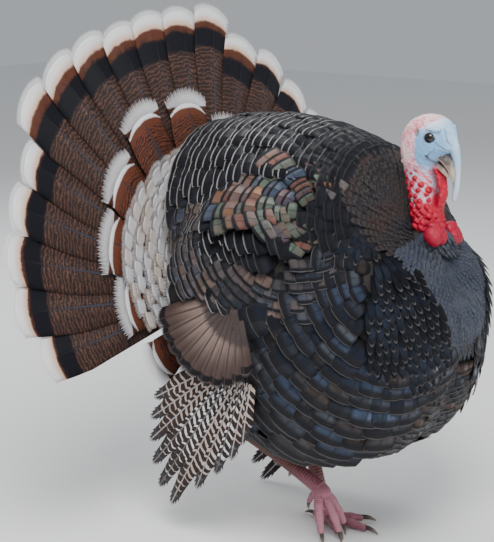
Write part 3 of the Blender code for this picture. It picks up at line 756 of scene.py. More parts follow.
def shoulder_web(side):
    """A solid between the body and the arm, so that the plumage runs evenly from one to the other."""
    arm = node_points("wing_" + side)
    sign = math.copysign(1.0, arm[:, 1].mean())
    trunk = tree_of("trunk")
    middle = arm.mean(0)
    shell = bmesh.new()
    for corner in arm:
        shell.verts.new(corner)
    for turn in np.radians(np.linspace(*WEB_TURNS, 12)):
        spot = middle + np.array((math.cos(turn), 0.0, math.sin(turn) * 0.9)) * WEB_REACH
        hit, _, _, _ = trunk.ray_cast(Vector((spot[0], sign, spot[2])), Vector((0.0, -sign, 0.0)))
        if hit:
            shell.verts.new(hit)
            shell.verts.new(hit - Vector((0.0, sign * WEB_THICK, 0.0)))
    bmesh.ops.convex_hull(shell, input=shell.verts)
    bmesh.ops.recalc_face_normals(shell, faces=shell.faces)
    return linked("web " + side, mesh_of(shell, "web " + side))


def skin_depth(places, normals):
    """The coat's depth over the skin; both faces of the thin arm keep less."""
    arm = ease(np.abs(places[:, 1]), *ARM_FROM)
    outer = normals[:, 1] * np.sign(places[:, 1]) > 0
    return coat_depth_at(places) * (1.0 - arm) + np.where(outer, ARM_OUTER_DEPTH, ARM_INNER_DEPTH) * arm


def soften_shoulders(body, places):
    """Smooths the body's high sides, where the arms meet it."""
    group = body.vertex_groups.new(name="shoulders")
    high = ease(places[:, 2], 0.385, 0.425) * ease(np.abs(places[:, 1]), 0.130, 0.160)
    for index in np.flatnonzero(high > 0.02):
        group.add([int(index)], float(high[index]), "REPLACE")
    soften = body.modifiers.new("soften", "SMOOTH")
    soften.vertex_group = group.name
    soften.factor = 0.9
    soften.iterations = 45
    with_modifiers_applied(body)
    body.vertex_groups.clear()


def body_hide():
    """The body under its feathers, a coat's depth inside the solids."""
    body = joined_copy("body skin", FLESH)
    webs = [shoulder_web(side) for side in ("right", "left")]
    with bpy.context.temp_override(active_object=body, selected_editable_objects=[body] + webs):
        bpy.ops.object.join()
    body = fused(body, BODY_VOXEL, 14, 0.6)
    places, normals = corners_of(body.data)
    places = places - normals * skin_depth(places, normals)[:, None]
    set_corners(body.data, places)
    soften_shoulders(body, places)
    body.data.shade_smooth()
    return body


# ---- contour feathers

NECK_FOOT = (0.165, 0.0, 0.468)
SHOULDER = np.array((0.077, 0.152, 0.515))
SIDE_BREAST = np.array((0.172, 0.090, 0.425))
SIDE_NECK = np.array((0.125, 0.090, 0.495))
LEFT_WING_SHIFT = np.array((-0.026, 0.0, -0.048))

BROAD_VANE = {
    "rows": 6, "columns": 5, "root": 0.45, "shoulder": 0.5, "taper": 0.03, "round": 0.085,
    "rise": 0.30, "follow": 0.06, "camber": 0.030, "thick": 0.010,
}
SOFT_VANE = {
    "rows": 5, "columns": 4, "root": 0.5, "shoulder": 0.45, "taper": 0.35, "round": 0.22,
    "rise": 0.30, "follow": 0.06, "camber": 0.04, "thick": 0.010,
    "barbs": 8, "barb_length": 0.30, "splay": 0.25,
}

NARROW_VANE = dict(BROAD_VANE, root=0.6, shoulder=0.4, taper=0.30, round=0.20, camber=0.05, rise=0.26)
RUMP_VANE = dict(SOFT_VANE, rows=6, columns=6, root=0.6, taper=0.0, round=0.14, barbs=16, barb_length=0.16,
                 splay=0.45)


def coat_depth_at(places):
    """How far the feather tips stand off the skin: little at the neck, most on the flanks and back."""
    gap = np.linalg.norm(places - np.array(NECK_FOOT), axis=1)
    return 0.0045 + 0.0105 * ease(gap, 0.07, 0.24)


def contour_finish(name, ground, sheens, zone, rim, rim_width, metal=0.35, gloss=0.32, fade=None):
    """A dark vane with a band of sheen, a black end and a thin pale rim, dull ahead of fade."""
    made = Finish(name, Specular_IOR_Level=0.22)
    u, v = made.vane()
    tone = made.attribute("tone")
    across = made.absolute(u * 2.0 - 1.0)
    barbs = made.wave(v * 260.0 + across * 80.0)
    grain = made.noise(60.0, 3.0)
    stops = [(i / max(len(sheens) - 1, 1), colour) for i, colour in enumerate(sheens)]
    sheen = made.node("ValToRGB", {"stops": stops}, {0: made.step(tone + (grain - 0.5) * 0.25, 0.08, 0.92)})
    lit = made.band(v + (grain - 0.5) * 0.05, zone[0], zone[1], zone[2])
    lit = lit * (1.0 - made.step(across, 0.72, 1.0) * 0.7)
    colour = made.mix(lit, ground, sheen)
    colour = made.mix(made.step(barbs, 0.2, 1.0) * 0.10, colour, (0.0, 0.0, 0.0))
    shaft = made.step(across, 0.10, 0.03) * made.step(v, 0.99, 0.8)
    colour = made.mix(shaft * 0.5, colour, (0.012, 0.011, 0.012))
    edge = 1.0 - (1.0 - made.step(v, 1.0 - rim_width, 1.0 - rim_width * 0.45)) * (
        1.0 - made.step(across, 1.0 - rim_width * 0.55, 1.0 - rim_width * 0.2) * made.step(v, 0.72, 0.9))
    if fade:
        x = made.parts(made.object_place())[0]
        rim = made.mix(made.step(x + (tone - 0.5) * 0.08, *fade[:2]), fade[2], rim)
    colour = made.mix(edge * (0.55 + grain * 0.6), colour, rim)
    made.set(Base_Color=colour, Roughness=0.62 - lit * (0.62 - gloss), Metallic=lit * metal)
    made.bump(barbs * 0.5 + grain, 0.0004)
    return made.material


def rump_finish():
    """Cream or white comb tips, a thin black line and a coppery base."""
    made = Finish("rump white", IOR=1.30)
    u, v = made.vane()
    tone = made.attribute("tone")
    grain = made.noise(120.0, 3.0)
    base = made.mix(made.step(tone + grain * 0.6, 0.5, 0.9), (0.050, 0.030, 0.028), (0.330, 0.130, 0.110))
    pale = made.mix(made.step(tone, 0.3, 0.8), (0.780, 0.770, 0.800), (0.760, 0.650, 0.570))
    level = v + (grain - 0.5) * 0.06
    colour = made.mix(made.step(level, 0.56, 0.60), base, (0.012, 0.010, 0.012))
    colour = made.mix(made.step(level, 0.62, 0.68), colour, pale)
    barbs = made.wave(u * 130.0)
    colour = made.mix(made.step(barbs, 0.2, 1.0) * 0.22, colour, (0.20, 0.17, 0.17))
    made.set(Base_Color=colour, Roughness=0.6 + grain * 0.2)
    made.bump(barbs, 0.0003)
    return made.material


def drift(places):
    """A slow wave over the body, the same on both sides, that groups the feathers' sheens."""
    x, y, z = places[:, 0], np.abs(places[:, 1]), places[:, 2]
    wave = np.sin(x * 61.0 + z * 38.0 + 1.3) + np.sin(z * 83.0 - x * 29.0 + y * 40.0 + 0.4) * 0.8
    return (wave + np.sin(x * 118.0 - z * 97.0 + 2.2) * 0.5) / 2.3


def vane_collection(vane, changes=(1.0,)):
    """Templates of a vane, each a little rounder and flatter than the one before."""
    vanes = bpy.data.collections.new("vanes")
    for i, change in enumerate(changes):
        shape = dict(vane, round=vane["round"] * change, camber=vane["camber"] * (2.0 - change))
        vanes.objects.link(vane_template("vane %d" % i, shape))
    return vanes


RUFF_ROWS = 5
RUFF_FEATHERS = 30
RUFF_SIZE = (0.0230, 0.0100, 0.0130)
RUFF_PATCH = 0.02
RUFF_SEED = 900


def ruff_piece(coat, finish, draw):
    """Short feathers that stand round the foot of the bare neck."""
    places, lies, stands, unwrap = [], [], [], []
    for row in range(RUFF_ROWS):
        centre = np.array((0.1685 - 0.0012 * row, 0.0, 0.4790 - 0.0050 * row))
        for k in range(RUFF_FEATHERS):
            turn = math.tau * (k + 0.5 * (row % 2) + draw.uniform(-0.2, 0.2)) / RUFF_FEATHERS
            way = np.array((math.cos(turn), math.sin(turn), 0.0))
            places.append(centre + way * (0.0175 + 0.0022 * row) + (0, 0, draw.uniform(-0.001, 0.001)))
            lies.append(unit(way * 0.62 + (0.0, 0.0, -0.78)))
            stands.append(unit(way * 0.78 + (0.0, 0.0, 0.62)))
            unwrap.append(0.5 + (0.14 + 0.07 * row) * way[:2])
    count = len(places)
    roots = roots_mesh("ruff", np.array(places), lies, stands, np.tile(RUFF_SIZE, (count, 1)),
                       np.array(unwrap), draw.random(count), np.zeros(count))
    mesh = coat.grow("neck_ruff", roots, vane_collection(SOFT_VANE), finish, RUFF_PATCH, RUFF_SEED)
    finished_piece("neck_ruff", mesh, finish)


# How round and how flat the vanes of one tract are, against the usual.
VANE_CHANGES = (0.85, 1.0, 1.15)
# A root is taken where another is nearer than this share of a feather's breadth.
PLANTED_REACH = 0.85
TAIL_ROOT_HEIGHT = 0.265
FLUFF_TOP = 0.330

BLACK = (0.006, 0.006, 0.009)
METALS = ((0.080, 0.105, 0.155), (0.260, 0.110, 0.085), (0.140, 0.190, 0.150), (0.190, 0.160, 0.150),
          (0.340, 0.150, 0.065), (0.130, 0.150, 0.190))
STEELS = ((0.014, 0.018, 0.032), (0.060, 0.085, 0.140), (0.030, 0.034, 0.046), (0.095, 0.110, 0.135),
          (0.050, 0.036, 0.032), (0.020, 0.024, 0.036))
DUSKS = ((0.040, 0.045, 0.060), (0.150, 0.120, 0.115), (0.070, 0.085, 0.120), (0.200, 0.140, 0.120))
INKS = ((0.010, 0.011, 0.016), (0.022, 0.024, 0.034))
BRONZES = ((0.036, 0.040, 0.054), (0.075, 0.068, 0.070), (0.095, 0.060, 0.052))
SLATES = ((0.080, 0.100, 0.150), (0.130, 0.150, 0.200), (0.110, 0.100, 0.105))
VELVETS = ((0.008, 0.009, 0.014), (0.012, 0.014, 0.022), (0.026, 0.036, 0.058))
SCALLOPS = ((0.030, 0.034, 0.048), (0.120, 0.060, 0.035), (0.060, 0.065, 0.080))
BROWNS = ((0.035, 0.028, 0.025), (0.060, 0.045, 0.038))

# What contour_finish takes: name, ground (None for the raven black of the settings), sheens, the sheen's
# zone as (from, to, softness), rim, its breadth, and what isn't as usual.
CONTOUR_FINISHES = {
    "shoulder": ("shoulder sheen", None, METALS, (0.40, 0.845, 0.035), (0.020, 0.020, 0.026), 0.04,
                 {"metal": 0.45, "gloss": 0.30}),
    "covert": ("wing covert sheen", None, DUSKS, (0.35, 0.80, 0.05), (0.640, 0.610, 0.600), 0.06,
               {"fade": (-0.045, -0.095, (0.150, 0.140, 0.140))}),
    "flank": ("flank sheen", None, STEELS, (0.30, 0.72, 0.10), (0.125, 0.112, 0.112), 0.05, {}),
    "back": ("back black", BLACK, INKS, (0.4, 0.7, 0.15), (0.560, 0.540, 0.550), 0.10,
             {"metal": 0.2, "fade": (0.070, -0.070, (0.030, 0.030, 0.036))}),
    "collar": ("collar bronze", (0.022, 0.020, 0.024), BRONZES, (0.3, 0.8, 0.12), (0.130, 0.115, 0.110), 0.08,
               {"metal": 0.25, "gloss": 0.4}),
    "breast": ("breast slate", (0.050, 0.060, 0.085), SLATES, (0.2, 0.9, 0.15), (0.150, 0.165, 0.200), 0.10,
               {"metal": 0.15, "gloss": 0.45}),
    "velvet": ("breast side velvet", BLACK, VELVETS, (0.30, 0.80, 0.15), (0.150, 0.140, 0.145), 0.09,
               {"metal": 0.15, "gloss": 0.4}),
    "scallop": ("lower breast scallop", None, SCALLOPS, (0.35, 0.75, 0.12), (0.210, 0.190, 0.180), 0.07, {}),
    "belly": ("belly brown", (0.022, 0.018, 0.017), BROWNS, (0.3, 0.8, 0.2), (0.070, 0.055, 0.045), 0.08,
              {"metal": 0.0, "gloss": 0.7}),
}


def both_sides(name, centre, limits, spacing=(1, 1), breadth=(1, 1), flat=False, outer=0.0):
    """A tract on each side; the left wing's hang as much lower as the wing does."""
    tracts = []
    for side_name, side in (("right", -1.0), ("left", 1.0)):
        here = centre + LEFT_WING_SHIFT if flat and side > 0 else centre
        tracts.append(Tract(name + "_" + side_name, here, limits, spacing, breadth, side, flat, outer))
    return tracts


def coat_tracts():
    """Tracts, finish, vane and overlap, from the uppermost down: a tract gives way to those before it."""
    return (
        (both_sides("shoulder_feathers", SHOULDER, [
            (-110, 0.008, 0.038), (-98, 0.008, 0.042), (-74, 0.008, 0.052), (-47, 0.008, 0.076),
            (-23, 0.008, 0.116), (-8, 0.008, 0.132), (0, 0.008, 0.132), (20, 0.008, 0.116),
            (39, 0.008, 0.084), (62, 0.008, 0.062), (110, 0.008, 0.035),
        ], (0.0085, 0.0165), (0.0140, 0.0290)), "shoulder", BROAD_VANE, 2.6),
        (both_sides("wing_coverts", SHOULDER, [
            (-112, 0.045, 0.075), (-98, 0.045, 0.112), (-80, 0.055, 0.132), (-64, 0.075, 0.138),
            (-47, 0.085, 0.144), (-42, 0.10, 0.170), (-34, 0.12, 0.198), (-22, 0.13, 0.222),
            (-10, 0.13, 0.225), (-2, 0.14, 0.210),
        ], (0.0110, 0.0140), (0.0150, 0.0180), flat=True), "covert", BROAD_VANE, 2.6),
        (both_sides("flank_feathers", SIDE_BREAST, [
            (-165, 0.118, 0.130), (-150, 0.118, 0.155), (-130, 0.118, 0.215), (-110, 0.112, 0.280),
            (-91, 0.090, 0.340), (-62, 0.046, 0.380), (-42, 0.042, 0.400), (-34, 0.042, 0.120),
            (-14, 0.042, 0.088), (8, 0.042, 0.066), (34, 0.042, 0.055),
        ], (0.0110, 0.0330), (0.0150, 0.0480)), "flank", BROAD_VANE, 2.4),
        ([Tract("breast_feathers", NECK_FOOT, [
            (90, 0.016, 0.070), (115, 0.016, 0.085), (135, 0.016, 0.102), (153, 0.016, 0.130),
            (168, 0.016, 0.176), (180, 0.016, 0.172), (192, 0.016, 0.176), (207, 0.016, 0.130),
            (225, 0.016, 0.102), (245, 0.016, 0.085), (270, 0.016, 0.070),
        ], (0.0048, 0.0068), (0.0050, 0.0070))], "breast", SOFT_VANE, 3.2),
        ([Tract("collar_feathers", NECK_FOOT, [
            (-92, 0.016, 0.075), (-50, 0.016, 0.125), (0, 0.016, 0.120), (50, 0.016, 0.125),
            (92, 0.016, 0.075),
        ], (0.0052, 0.0085), (0.0058, 0.0100))], "collar", SOFT_VANE, 3.0),
        (both_sides("side_breast_feathers", SIDE_NECK, [(-180, 0.010, 0.230), (-84, 0.010, 0.200)],
                    (0.0110, 0.0140), (0.0072, 0.0100)), "velvet", NARROW_VANE, 3.6),
        ([Tract("lower_breast_feathers", NECK_FOOT, [(128, 0.120, 0.350), (232, 0.120, 0.350)],
                (0.0075, 0.0125), (0.0100, 0.0170))], "scallop", BROAD_VANE, 2.6),
        ([Tract("back_feathers", NECK_FOOT, [
            (-118, 0.27, 0.42), (-100, 0.24, 0.43), (-78, 0.05, 0.40), (78, 0.05, 0.40), (100, 0.24, 0.43),
            (118, 0.27, 0.42),
        ], (0.0090, 0.0135), (0.0160, 0.0270), lowest=TAIL_ROOT_HEIGHT)], "back", BROAD_VANE, 2.6),
        ([Tract("rump_feathers", NECK_FOOT, [(-76, 0.40, 0.53), (76, 0.40, 0.53)], (0.0150, 0.0160),
                (0.0260, 0.0270), lowest=TAIL_ROOT_HEIGHT)], "rump", RUMP_VANE, 2.8),
        ([Tract("vent_feathers", (-0.03, 0.0, 0.14), [(-100, 0.012, 0.33), (100, 0.012, 0.33)],
                (0.0120, 0.0200), (0.0160, 0.0280), highest=FLUFF_TOP)], "belly", SOFT_VANE, 2.8),
        ([Tract("belly_feathers", NECK_FOOT, [(76, 0.10, 0.95), (284, 0.10, 0.95)],
                (0.0120, 0.0200), (0.0170, 0.0280), highest=FLUFF_TOP)], "belly", SOFT_VANE, 2.8),
    )


def coat_pieces(hide, settings, draw):
    """Every tract of contour feathers, each a piece of its own."""
    coat = CoatTree()
    finishes = {key: contour_finish(name, ground or tuple(settings.raven), *row, **unusual)
                for key, (name, ground, *row, unusual) in CONTOUR_FINISHES.items()}
    finishes["rump"] = rump_finish()
    fans = both_sides("wing_fan", SHOULDER, [
        (-76, 0.150, 0.27), (-50, 0.155, 0.27), (-42, 0.172, 0.27), (-34, 0.20, 0.27), (-20, 0.23, 0.27),
        (-5, 0.24, 0.27),
    ], flat=True, outer=0.180)
    laps = both_sides("wing_lap", SHOULDER, [
        (-66, 0.12, 0.27), (-42, 0.10, 0.27), (-20, 0.11, 0.27), (-2, 0.12, 0.27),
    ], flat=True, outer=0.150)
    seed = 1
    covered, planted = list(fans), []
    for tracts, finish, vane, overlap in coat_tracts():
        above = fans + planted if finish == "belly" else covered + laps if finish == "flank" else covered
        firm = settings.breadth if vane is BROAD_VANE else settings.soft_breadth
        for tract in tracts:
            places, lies, stands, shares, unwrap = tract.roots(hide, above, draw)
            if not len(places):
                continue
            spacing, breadth = between(tract.spacing, shares), between(tract.breadth, shares)
            rise = skin_depth(places, stands) / vane["rise"]
            sizes = np.stack([spacing * overlap, breadth * firm, rise], 1)
            tones = 0.5 + 0.55 * drift(places) + settings.scatter * (draw.random(len(places)) - 0.5)
            roots = roots_mesh(tract.name, places, lies, stands, sizes, unwrap, np.clip(tones, 0.0, 1.0),
                               draw.integers(0, len(VANE_CHANGES), len(places)))
            mesh = coat.grow(tract.name, roots, vane_collection(vane, VANE_CHANGES), finishes[finish],
                             tract.patch(spacing.min()), seed, (settings.size_scatter, settings.turn_scatter))
            finished_piece(tract.name, mesh, finishes[finish])
            planted.append(Planted(places, PLANTED_REACH * tract.breadth[1]))
            seed += 10
        covered += tracts
    ruff_piece(coat, finishes["breast"], draw)


# ---- head and neck

EYE = np.array((0.1745, 0.0205, 0.6055))
EYE_RADIUS = 0.0082
EYE_WAY = unit((0.22, 1.0, 0.03))
LID_OPENING = 0.0063
LID_HALF = 0.0013
EAR = np.array((0.1555, 0.0245, 0.6115))
EAR_HALF = (0.0028, 0.0060, 0.0048)
EAR_DEPTH = 0.0022
NECK_TOP = 0.568
NECK_BOTTOM = 0.482
NECK_STUMP = ((0.1690, 0.0, 0.4700), (0.1600, 0.0, 0.4200), 0.0185, 0.0220)
WART_LEAN = math.radians(38)
STRANDS = 3
STRAND_BEADS = 12
STRAND_HALF = 0.0022
SNOOD_MARGIN = 0.004
SNOOD_NEAR = 0.0022
BULB_CENTRES = ((0.1865, 0.0225, 0.4660), (0.1865, -0.0225, 0.4735))

GAPE = ((0.1700, 0.0235, 0.5810), (0.1752, 0.0230, 0.5745), (0.1815, 0.0200, 0.5675))
# Folds of the face: course, half width, depth, and the strength of the painted shade along it.  Each is made
# on both sides.
FOLDS = {
    "lore": (
        ((0.1815, 0.024, 0.6025), (0.187, 0.022, 0.596), (0.192, 0.018, 0.5925), (0.197, 0.011, 0.587)),
        0.0009, 0.0014, 1.0),
    "cheek": (
        ((0.1725, 0.0235, 0.5805), (0.1765, 0.024, 0.5845), (0.1815, 0.024, 0.5875), (0.1835, 0.024, 0.592)),
        0.001, 0.0014, 0.8),
    "gape": (GAPE, 0.0013, 0.0022, 1.0),
    "forehead": (
        ((0.1925, 0.0145, 0.6195), (0.1955, 0.015, 0.611), (0.1965, 0.015, 0.605), (0.1985, 0.012, 0.5985)),
        0.0008, 0.0012, 1.0),
    "forehead branch": (((0.1945, 0.0148, 0.6135), (0.199, 0.0095, 0.6125)), 0.0006, 0.0008, 0.6),
    "forehead end": (((0.1985, 0.012, 0.5985), (0.201, 0.006, 0.595)), 0.0007, 0.0009, 0.7),
    "upper lid": (
        ((0.1645, 0.0262, 0.612), (0.170, 0.0272, 0.616), (0.178, 0.0262, 0.6155), (0.186, 0.023, 0.609)),
        0.0008, 0.0011, 0.6),
    "brow": (
        ((0.172, 0.0262, 0.6205), (0.182, 0.0235, 0.618), (0.1895, 0.019, 0.608), (0.193, 0.0175, 0.600)),
        0.0008, 0.0007, 0.25),
    "lower lid": (((0.1655, 0.0268, 0.599), (0.173, 0.0272, 0.595), (0.180, 0.0262, 0.5965)),
        0.0008, 0.0009, 0.35),
    "cheek low": (((0.159, 0.0255, 0.586), (0.164, 0.0255, 0.577), (0.171, 0.024, 0.570)),
        0.001, 0.0008, 0.25),
    "jaw": (((0.156, 0.0245, 0.574), (0.164, 0.0235, 0.564), (0.1735, 0.019, 0.558)),
        0.001, 0.001, 0.3),
    "jaw low": (((0.152, 0.0235, 0.568), (0.162, 0.0225, 0.556), (0.170, 0.019, 0.547)),
        0.0009, 0.001, 0.25),
    "throat": (((0.158, 0.0225, 0.552), (0.168, 0.0195, 0.540), (0.176, 0.013, 0.525)),
        0.001, 0.0012, 0.35),
    "throat low": (((0.160, 0.0225, 0.538), (0.170, 0.0185, 0.525), (0.178, 0.011, 0.508)),
        0.001, 0.0012, 0.35),
}


def nearness(points, course, width):
    """1 on a course of straight stretches and falling away from it within a few half widths."""
    course = np.asarray(course, float)
    gap = np.full(len(points), 1.0)
    for start, end in zip(course[:-1], course[1:]):
        way = end - start
        share = np.clip(((points - start) @ way) / way.dot(way), 0.0, 1.0)
        gap = np.minimum(gap, np.linalg.norm(points - start - share[:, None] * way, axis=1))
    return np.exp(-(gap / width) ** 2)


def add_ball(shell, centre, radii, turn=None):
    """A round lump added to a shell."""
    made = bmesh.ops.create_icosphere(shell, subdivisions=3, radius=1.0)
    matrix = Matrix.Translation(centre) @ (turn or Matrix()) @ Matrix.Diagonal((*radii, 1.0))
    bmesh.ops.transform(shell, matrix=matrix, verts=made["verts"])


def add_rod(shell, start, end, radius_start, radius_end):
    """A closed round rod added to a shell."""
    start, end = Vector(start), Vector(end)
    made = bmesh.ops.create_cone(shell, cap_ends=True, segments=20, radius1=radius_start, radius2=radius_end,
                                 depth=(end - start).length)
    turn = (end - start).to_track_quat("Z", "Y").to_matrix().to_4x4()
    bmesh.ops.transform(shell, matrix=Matrix.Translation((start + end) / 2) @ turn, verts=made["verts"])


def add_lid(shell, side):
    """A ring of lid round the eye's opening, a little drawn out forwards and down."""
    centre = EYE * (1.0, side, 1.0)
    way = EYE_WAY * (1.0, side, 1.0)
    first = along_surface(np.array((1.0, 0.0, -0.35)), way)
    second = np.cross(way, first)
    count = 28
    for k in range(count):
        angle = math.tau * k / count
        reach = LID_OPENING + 0.0009 + 0.0012 * max(math.cos(angle), 0.0) ** 6
        depth = math.sqrt(max(EYE_RADIUS**2 - reach**2, 0.0)) * 0.92 + 0.0003
        ring = first * math.cos(angle) * reach + second * math.sin(angle) * reach * 0.94
        add_ball(shell, centre + ring + way * depth, (LID_HALF,) * 3)


WART_ROWS = 13


def nodule_places(settings, draw):
    """Rows of warts round the neck, small and sparse above, large and crowded below."""
    trees = [tree_of(node) for node in ("neck", "head")]
    places = []
    for row in range(WART_ROWS):
        share = row / (WART_ROWS - 1)
        z = NECK_TOP + (NECK_BOTTOM - NECK_TOP) * share
        axis = Vector((0.151 + 0.016 * share, 0.0, z))
        count = 10 + int(share * 2)
        for k in range(count):
            turn = math.tau * (k + 0.5 * (row % 2) + draw.uniform(-0.22, 0.22)) / count
            front = math.cos(turn)
            if front > 0.86 - 0.25 * share + 0.4 * (share > 0.75) or (front > 0.25 and share < 0.30):
                continue
            out = Vector((math.cos(turn), math.sin(turn), draw.uniform(-0.1, 0.1)))
            for tree in trees:
                hit, _, _, _ = tree.ray_cast(axis + out * 0.06, -out)
                if hit and (hit - axis).length < 0.04:
                    radius = (0.0020 + 0.0032 * share) * draw.uniform(0.70, 1.25) * settings.wart_size
                    places.append((np.array(hit) - np.array(out) * radius * 0.15, radius))
                    break
    return places


def head_shell(settings, draw):
    """The bare head, neck, snood, wattle and bulbs as one fine surface, and where its warts are."""
    bare = joined_copy("bare skin", [name for name in BARE if name != "wattle"])
    shell = bmesh.new()
    shell.from_mesh(fused(bare, BARE_VOXEL, 10, 0.6).data)
    add_rod(shell, *NECK_STUMP)
    warts = nodule_places(settings, draw)
    lean = Matrix.Rotation(WART_LEAN, 4, "Y")
    for place, radius in warts:
        add_ball(shell, place, (radius * 1.1, radius, radius * 0.75), lean)
    shell.normal_update()
    for place, radius in list(warts):
        out = unit(place - np.array((0.156, 0.0, place[2])))
        for turn in draw.uniform(0.0, math.tau, 2):
            away = along_surface(np.array((math.cos(turn), math.sin(turn), math.cos(turn + 1.0))), out)
            small = radius * draw.uniform(0.40, 0.62)
            beside = place + away * (radius * 0.95) - out * radius * 0.25
            add_ball(shell, beside, (small, small, small * 0.85))
            warts.append((beside, small))
    for side in (1.0, -1.0):
        add_lid(shell, side)
        add_ball(shell, (0.1790, side * 0.0205, 0.6170), (0.0120, 0.0065, 0.0045))
    add_bulbs(shell)
    add_wattle(shell, draw)
    shell.to_mesh(bare.data)
    shell.free()
    return fused(bare, settings.voxel * 0.92, 2, 0.5), warts


def add_bulbs(shell):
    """The lumps of the two large bulbs at the neck's foot."""
    for x, y, z in BULB_CENTRES:
        out = math.copysign(1.0, y)
        add_ball(shell, (x - 0.001, y * 1.1, z + 0.0140), (0.0085, 0.0105, 0.0050))
        add_ball(shell, (x + 0.007, y * 0.75, z - 0.003), (0.0095, 0.0090, 0.0125))
        add_ball(shell, (x + 0.004, y + out * 0.007, z - 0.004), (0.0105, 0.0105, 0.0120))
        add_ball(shell, (x + 0.004, y - out * 0.011, z + 0.010), (0.0060, 0.0055, 0.0070))


def add_wattle(shell, draw):
    """Beaded strands that hang from the throat in front of the neck."""
    for k in range(-STRANDS, STRANDS + 1):
        spread_out = 1.0 - 0.1 * abs(k)
        trail = []
        for share in np.linspace(0.0, 1.0, STRAND_BEADS + 1):
            hang = math.sin(math.pi * min(share * 1.2, 1.0))
            x = 0.1770 + 0.0105 * hang * spread_out + 0.0030 * share + draw.uniform(-0.0005, 0.0005)
            y = k * (0.0031 - 0.0012 * share) + 0.0009 * math.sin(share * 17.0 + k * 2.1)
            trail.append((x, y, 0.5615 - 0.0750 * share))
        for i in range(STRAND_BEADS):
            radius = STRAND_HALF * (1.0 + 0.35 * math.sin(i * 1.9 + k * 1.3))
            add_rod(shell, trail[i], trail[i + 1], radius, radius)
            if i % 2 == 0:
                add_ball(shell, trail[i], (radius * 1.3,) * 3)


def face_masks(points, warts):
    """How flushed, pale, dark (painted shade in the folds, and a dark ring round the lid) and so on each
    corner of the bare skin is.
    """
    x, y, z = points[:, 0], np.abs(points[:, 1]), points[:, 2]
    near = np.stack([x, y, z], 1)
    neck = ease(-z, -0.572, -0.552)
    nape = ease(0.1545 + np.maximum(z - 0.612, 0) * 1.5 + np.maximum(0.575 - z, 0) * 0.5 - x, -0.0025, 0.0030)
    crown = np.exp(-(((x - 0.172) / 0.020) ** 2 + ((z - 0.628) / 0.0125) ** 2)) * (1 - nape)
    level = np.array((1.0, 0.0, 1.0))
    bill_root = nearness(near * level, np.array(GAPE) * level + (0.0012, 0.0, -0.0012), 0.0022)
    throat = ease(x, 0.1715, 0.1765) * ease(-z, -0.572, -0.560) * (1 - ease(-z, -0.4980, -0.4900))
    snood = np.zeros(len(points))
    tree = tree_of("snood")
    low, high = np.array(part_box("snood")) + ((-SNOOD_MARGIN,), (SNOOD_MARGIN,))
    for i in np.flatnonzero(np.all((points > low) & (points < high), axis=1)):
        _, _, _, gap = tree.find_nearest(Vector(points[i]))
        snood[i] = 1.0 if gap < SNOOD_NEAR else 0.0
    throat *= 1 - snood
    bulbs = np.zeros(len(points))
    for centre in BULB_CENTRES:
        gap = np.linalg.norm((points - np.array(centre)) / (1.0, 1.15, 1.12), axis=1)
        bulbs = np.maximum(bulbs, ease(-gap, -0.0215, -0.0185))
    bulbs *= ease(x, 0.164, 0.172)
    wart = np.zeros(len(points))
    for centre, radius in warts:
        gap = np.linalg.norm(points - centre, axis=1)
        wart = np.maximum(wart, ease(-gap, -radius * 1.75, -radius * 1.05))
    # Painted shade along the face's folds, and a dark ring round the lid's opening.
    dark = np.zeros(len(points))
    for course, width, _, fold_shade in FOLDS.values():
        dark = np.maximum(dark, fold_shade * nearness(near, course, width * 1.1))
    gap = near - EYE
    lateral = np.linalg.norm(gap - (gap @ EYE_WAY)[:, None] * EYE_WAY, axis=1)
    lid = np.exp(-((lateral - LID_OPENING - 0.0003) / 0.0011) ** 2) * ease(gap @ EYE_WAY, 0.0, 0.004)
    ear = ease(-((x - EAR[0]) / 0.0034) ** 2 - ((z - EAR[2]) / 0.0055) ** 2, -1.5, -0.7)
    ear *= ease(y, 0.012, 0.018)
    foot = ease(-z, -0.4800, -0.4720) * (1 - bulbs)
    return {"foot": foot, "neck": neck, "nape": nape, "crown": crown, "throat": throat, "snood": snood,
            "bulbs": bulbs, "wart": wart, "dark": np.maximum(dark, lid), "ear": ear, "bill_root": bill_root}


def sculpt_head(bare):
    """Sinks the eye sockets, ear pits and folds, and raises the skin beside each fold."""
    points, normals = corners_of(bare.data)
    near = points.copy()
    near[:, 1] = np.abs(near[:, 1])
    depth = np.zeros(len(points))
    for course, width, sink, _ in FOLDS.values():
        depth += sink * (nearness(near, course, width) - 0.45 * nearness(near, course, width * 2.6))
    depth += EAR_DEPTH * np.exp(-np.sum(((near - EAR) / EAR_HALF) ** 2, axis=1))
    points = points - normals * depth[:, None]
    gap = near - EYE
    along = gap @ EYE_WAY
    lateral = np.linalg.norm(gap - along[:, None] * EYE_WAY, axis=1)
    inside = ease(-lateral, -LID_OPENING - 0.0001, -LID_OPENING + 0.0008) * ease(along, -0.002, 0.001)
    way = np.tile(EYE_WAY, (len(points), 1))
    way[:, 1] *= np.sign(points[:, 1])
    points = points - way * (inside * np.maximum(along + 0.001, 0.0))[:, None]
    set_corners(bare.data, points)


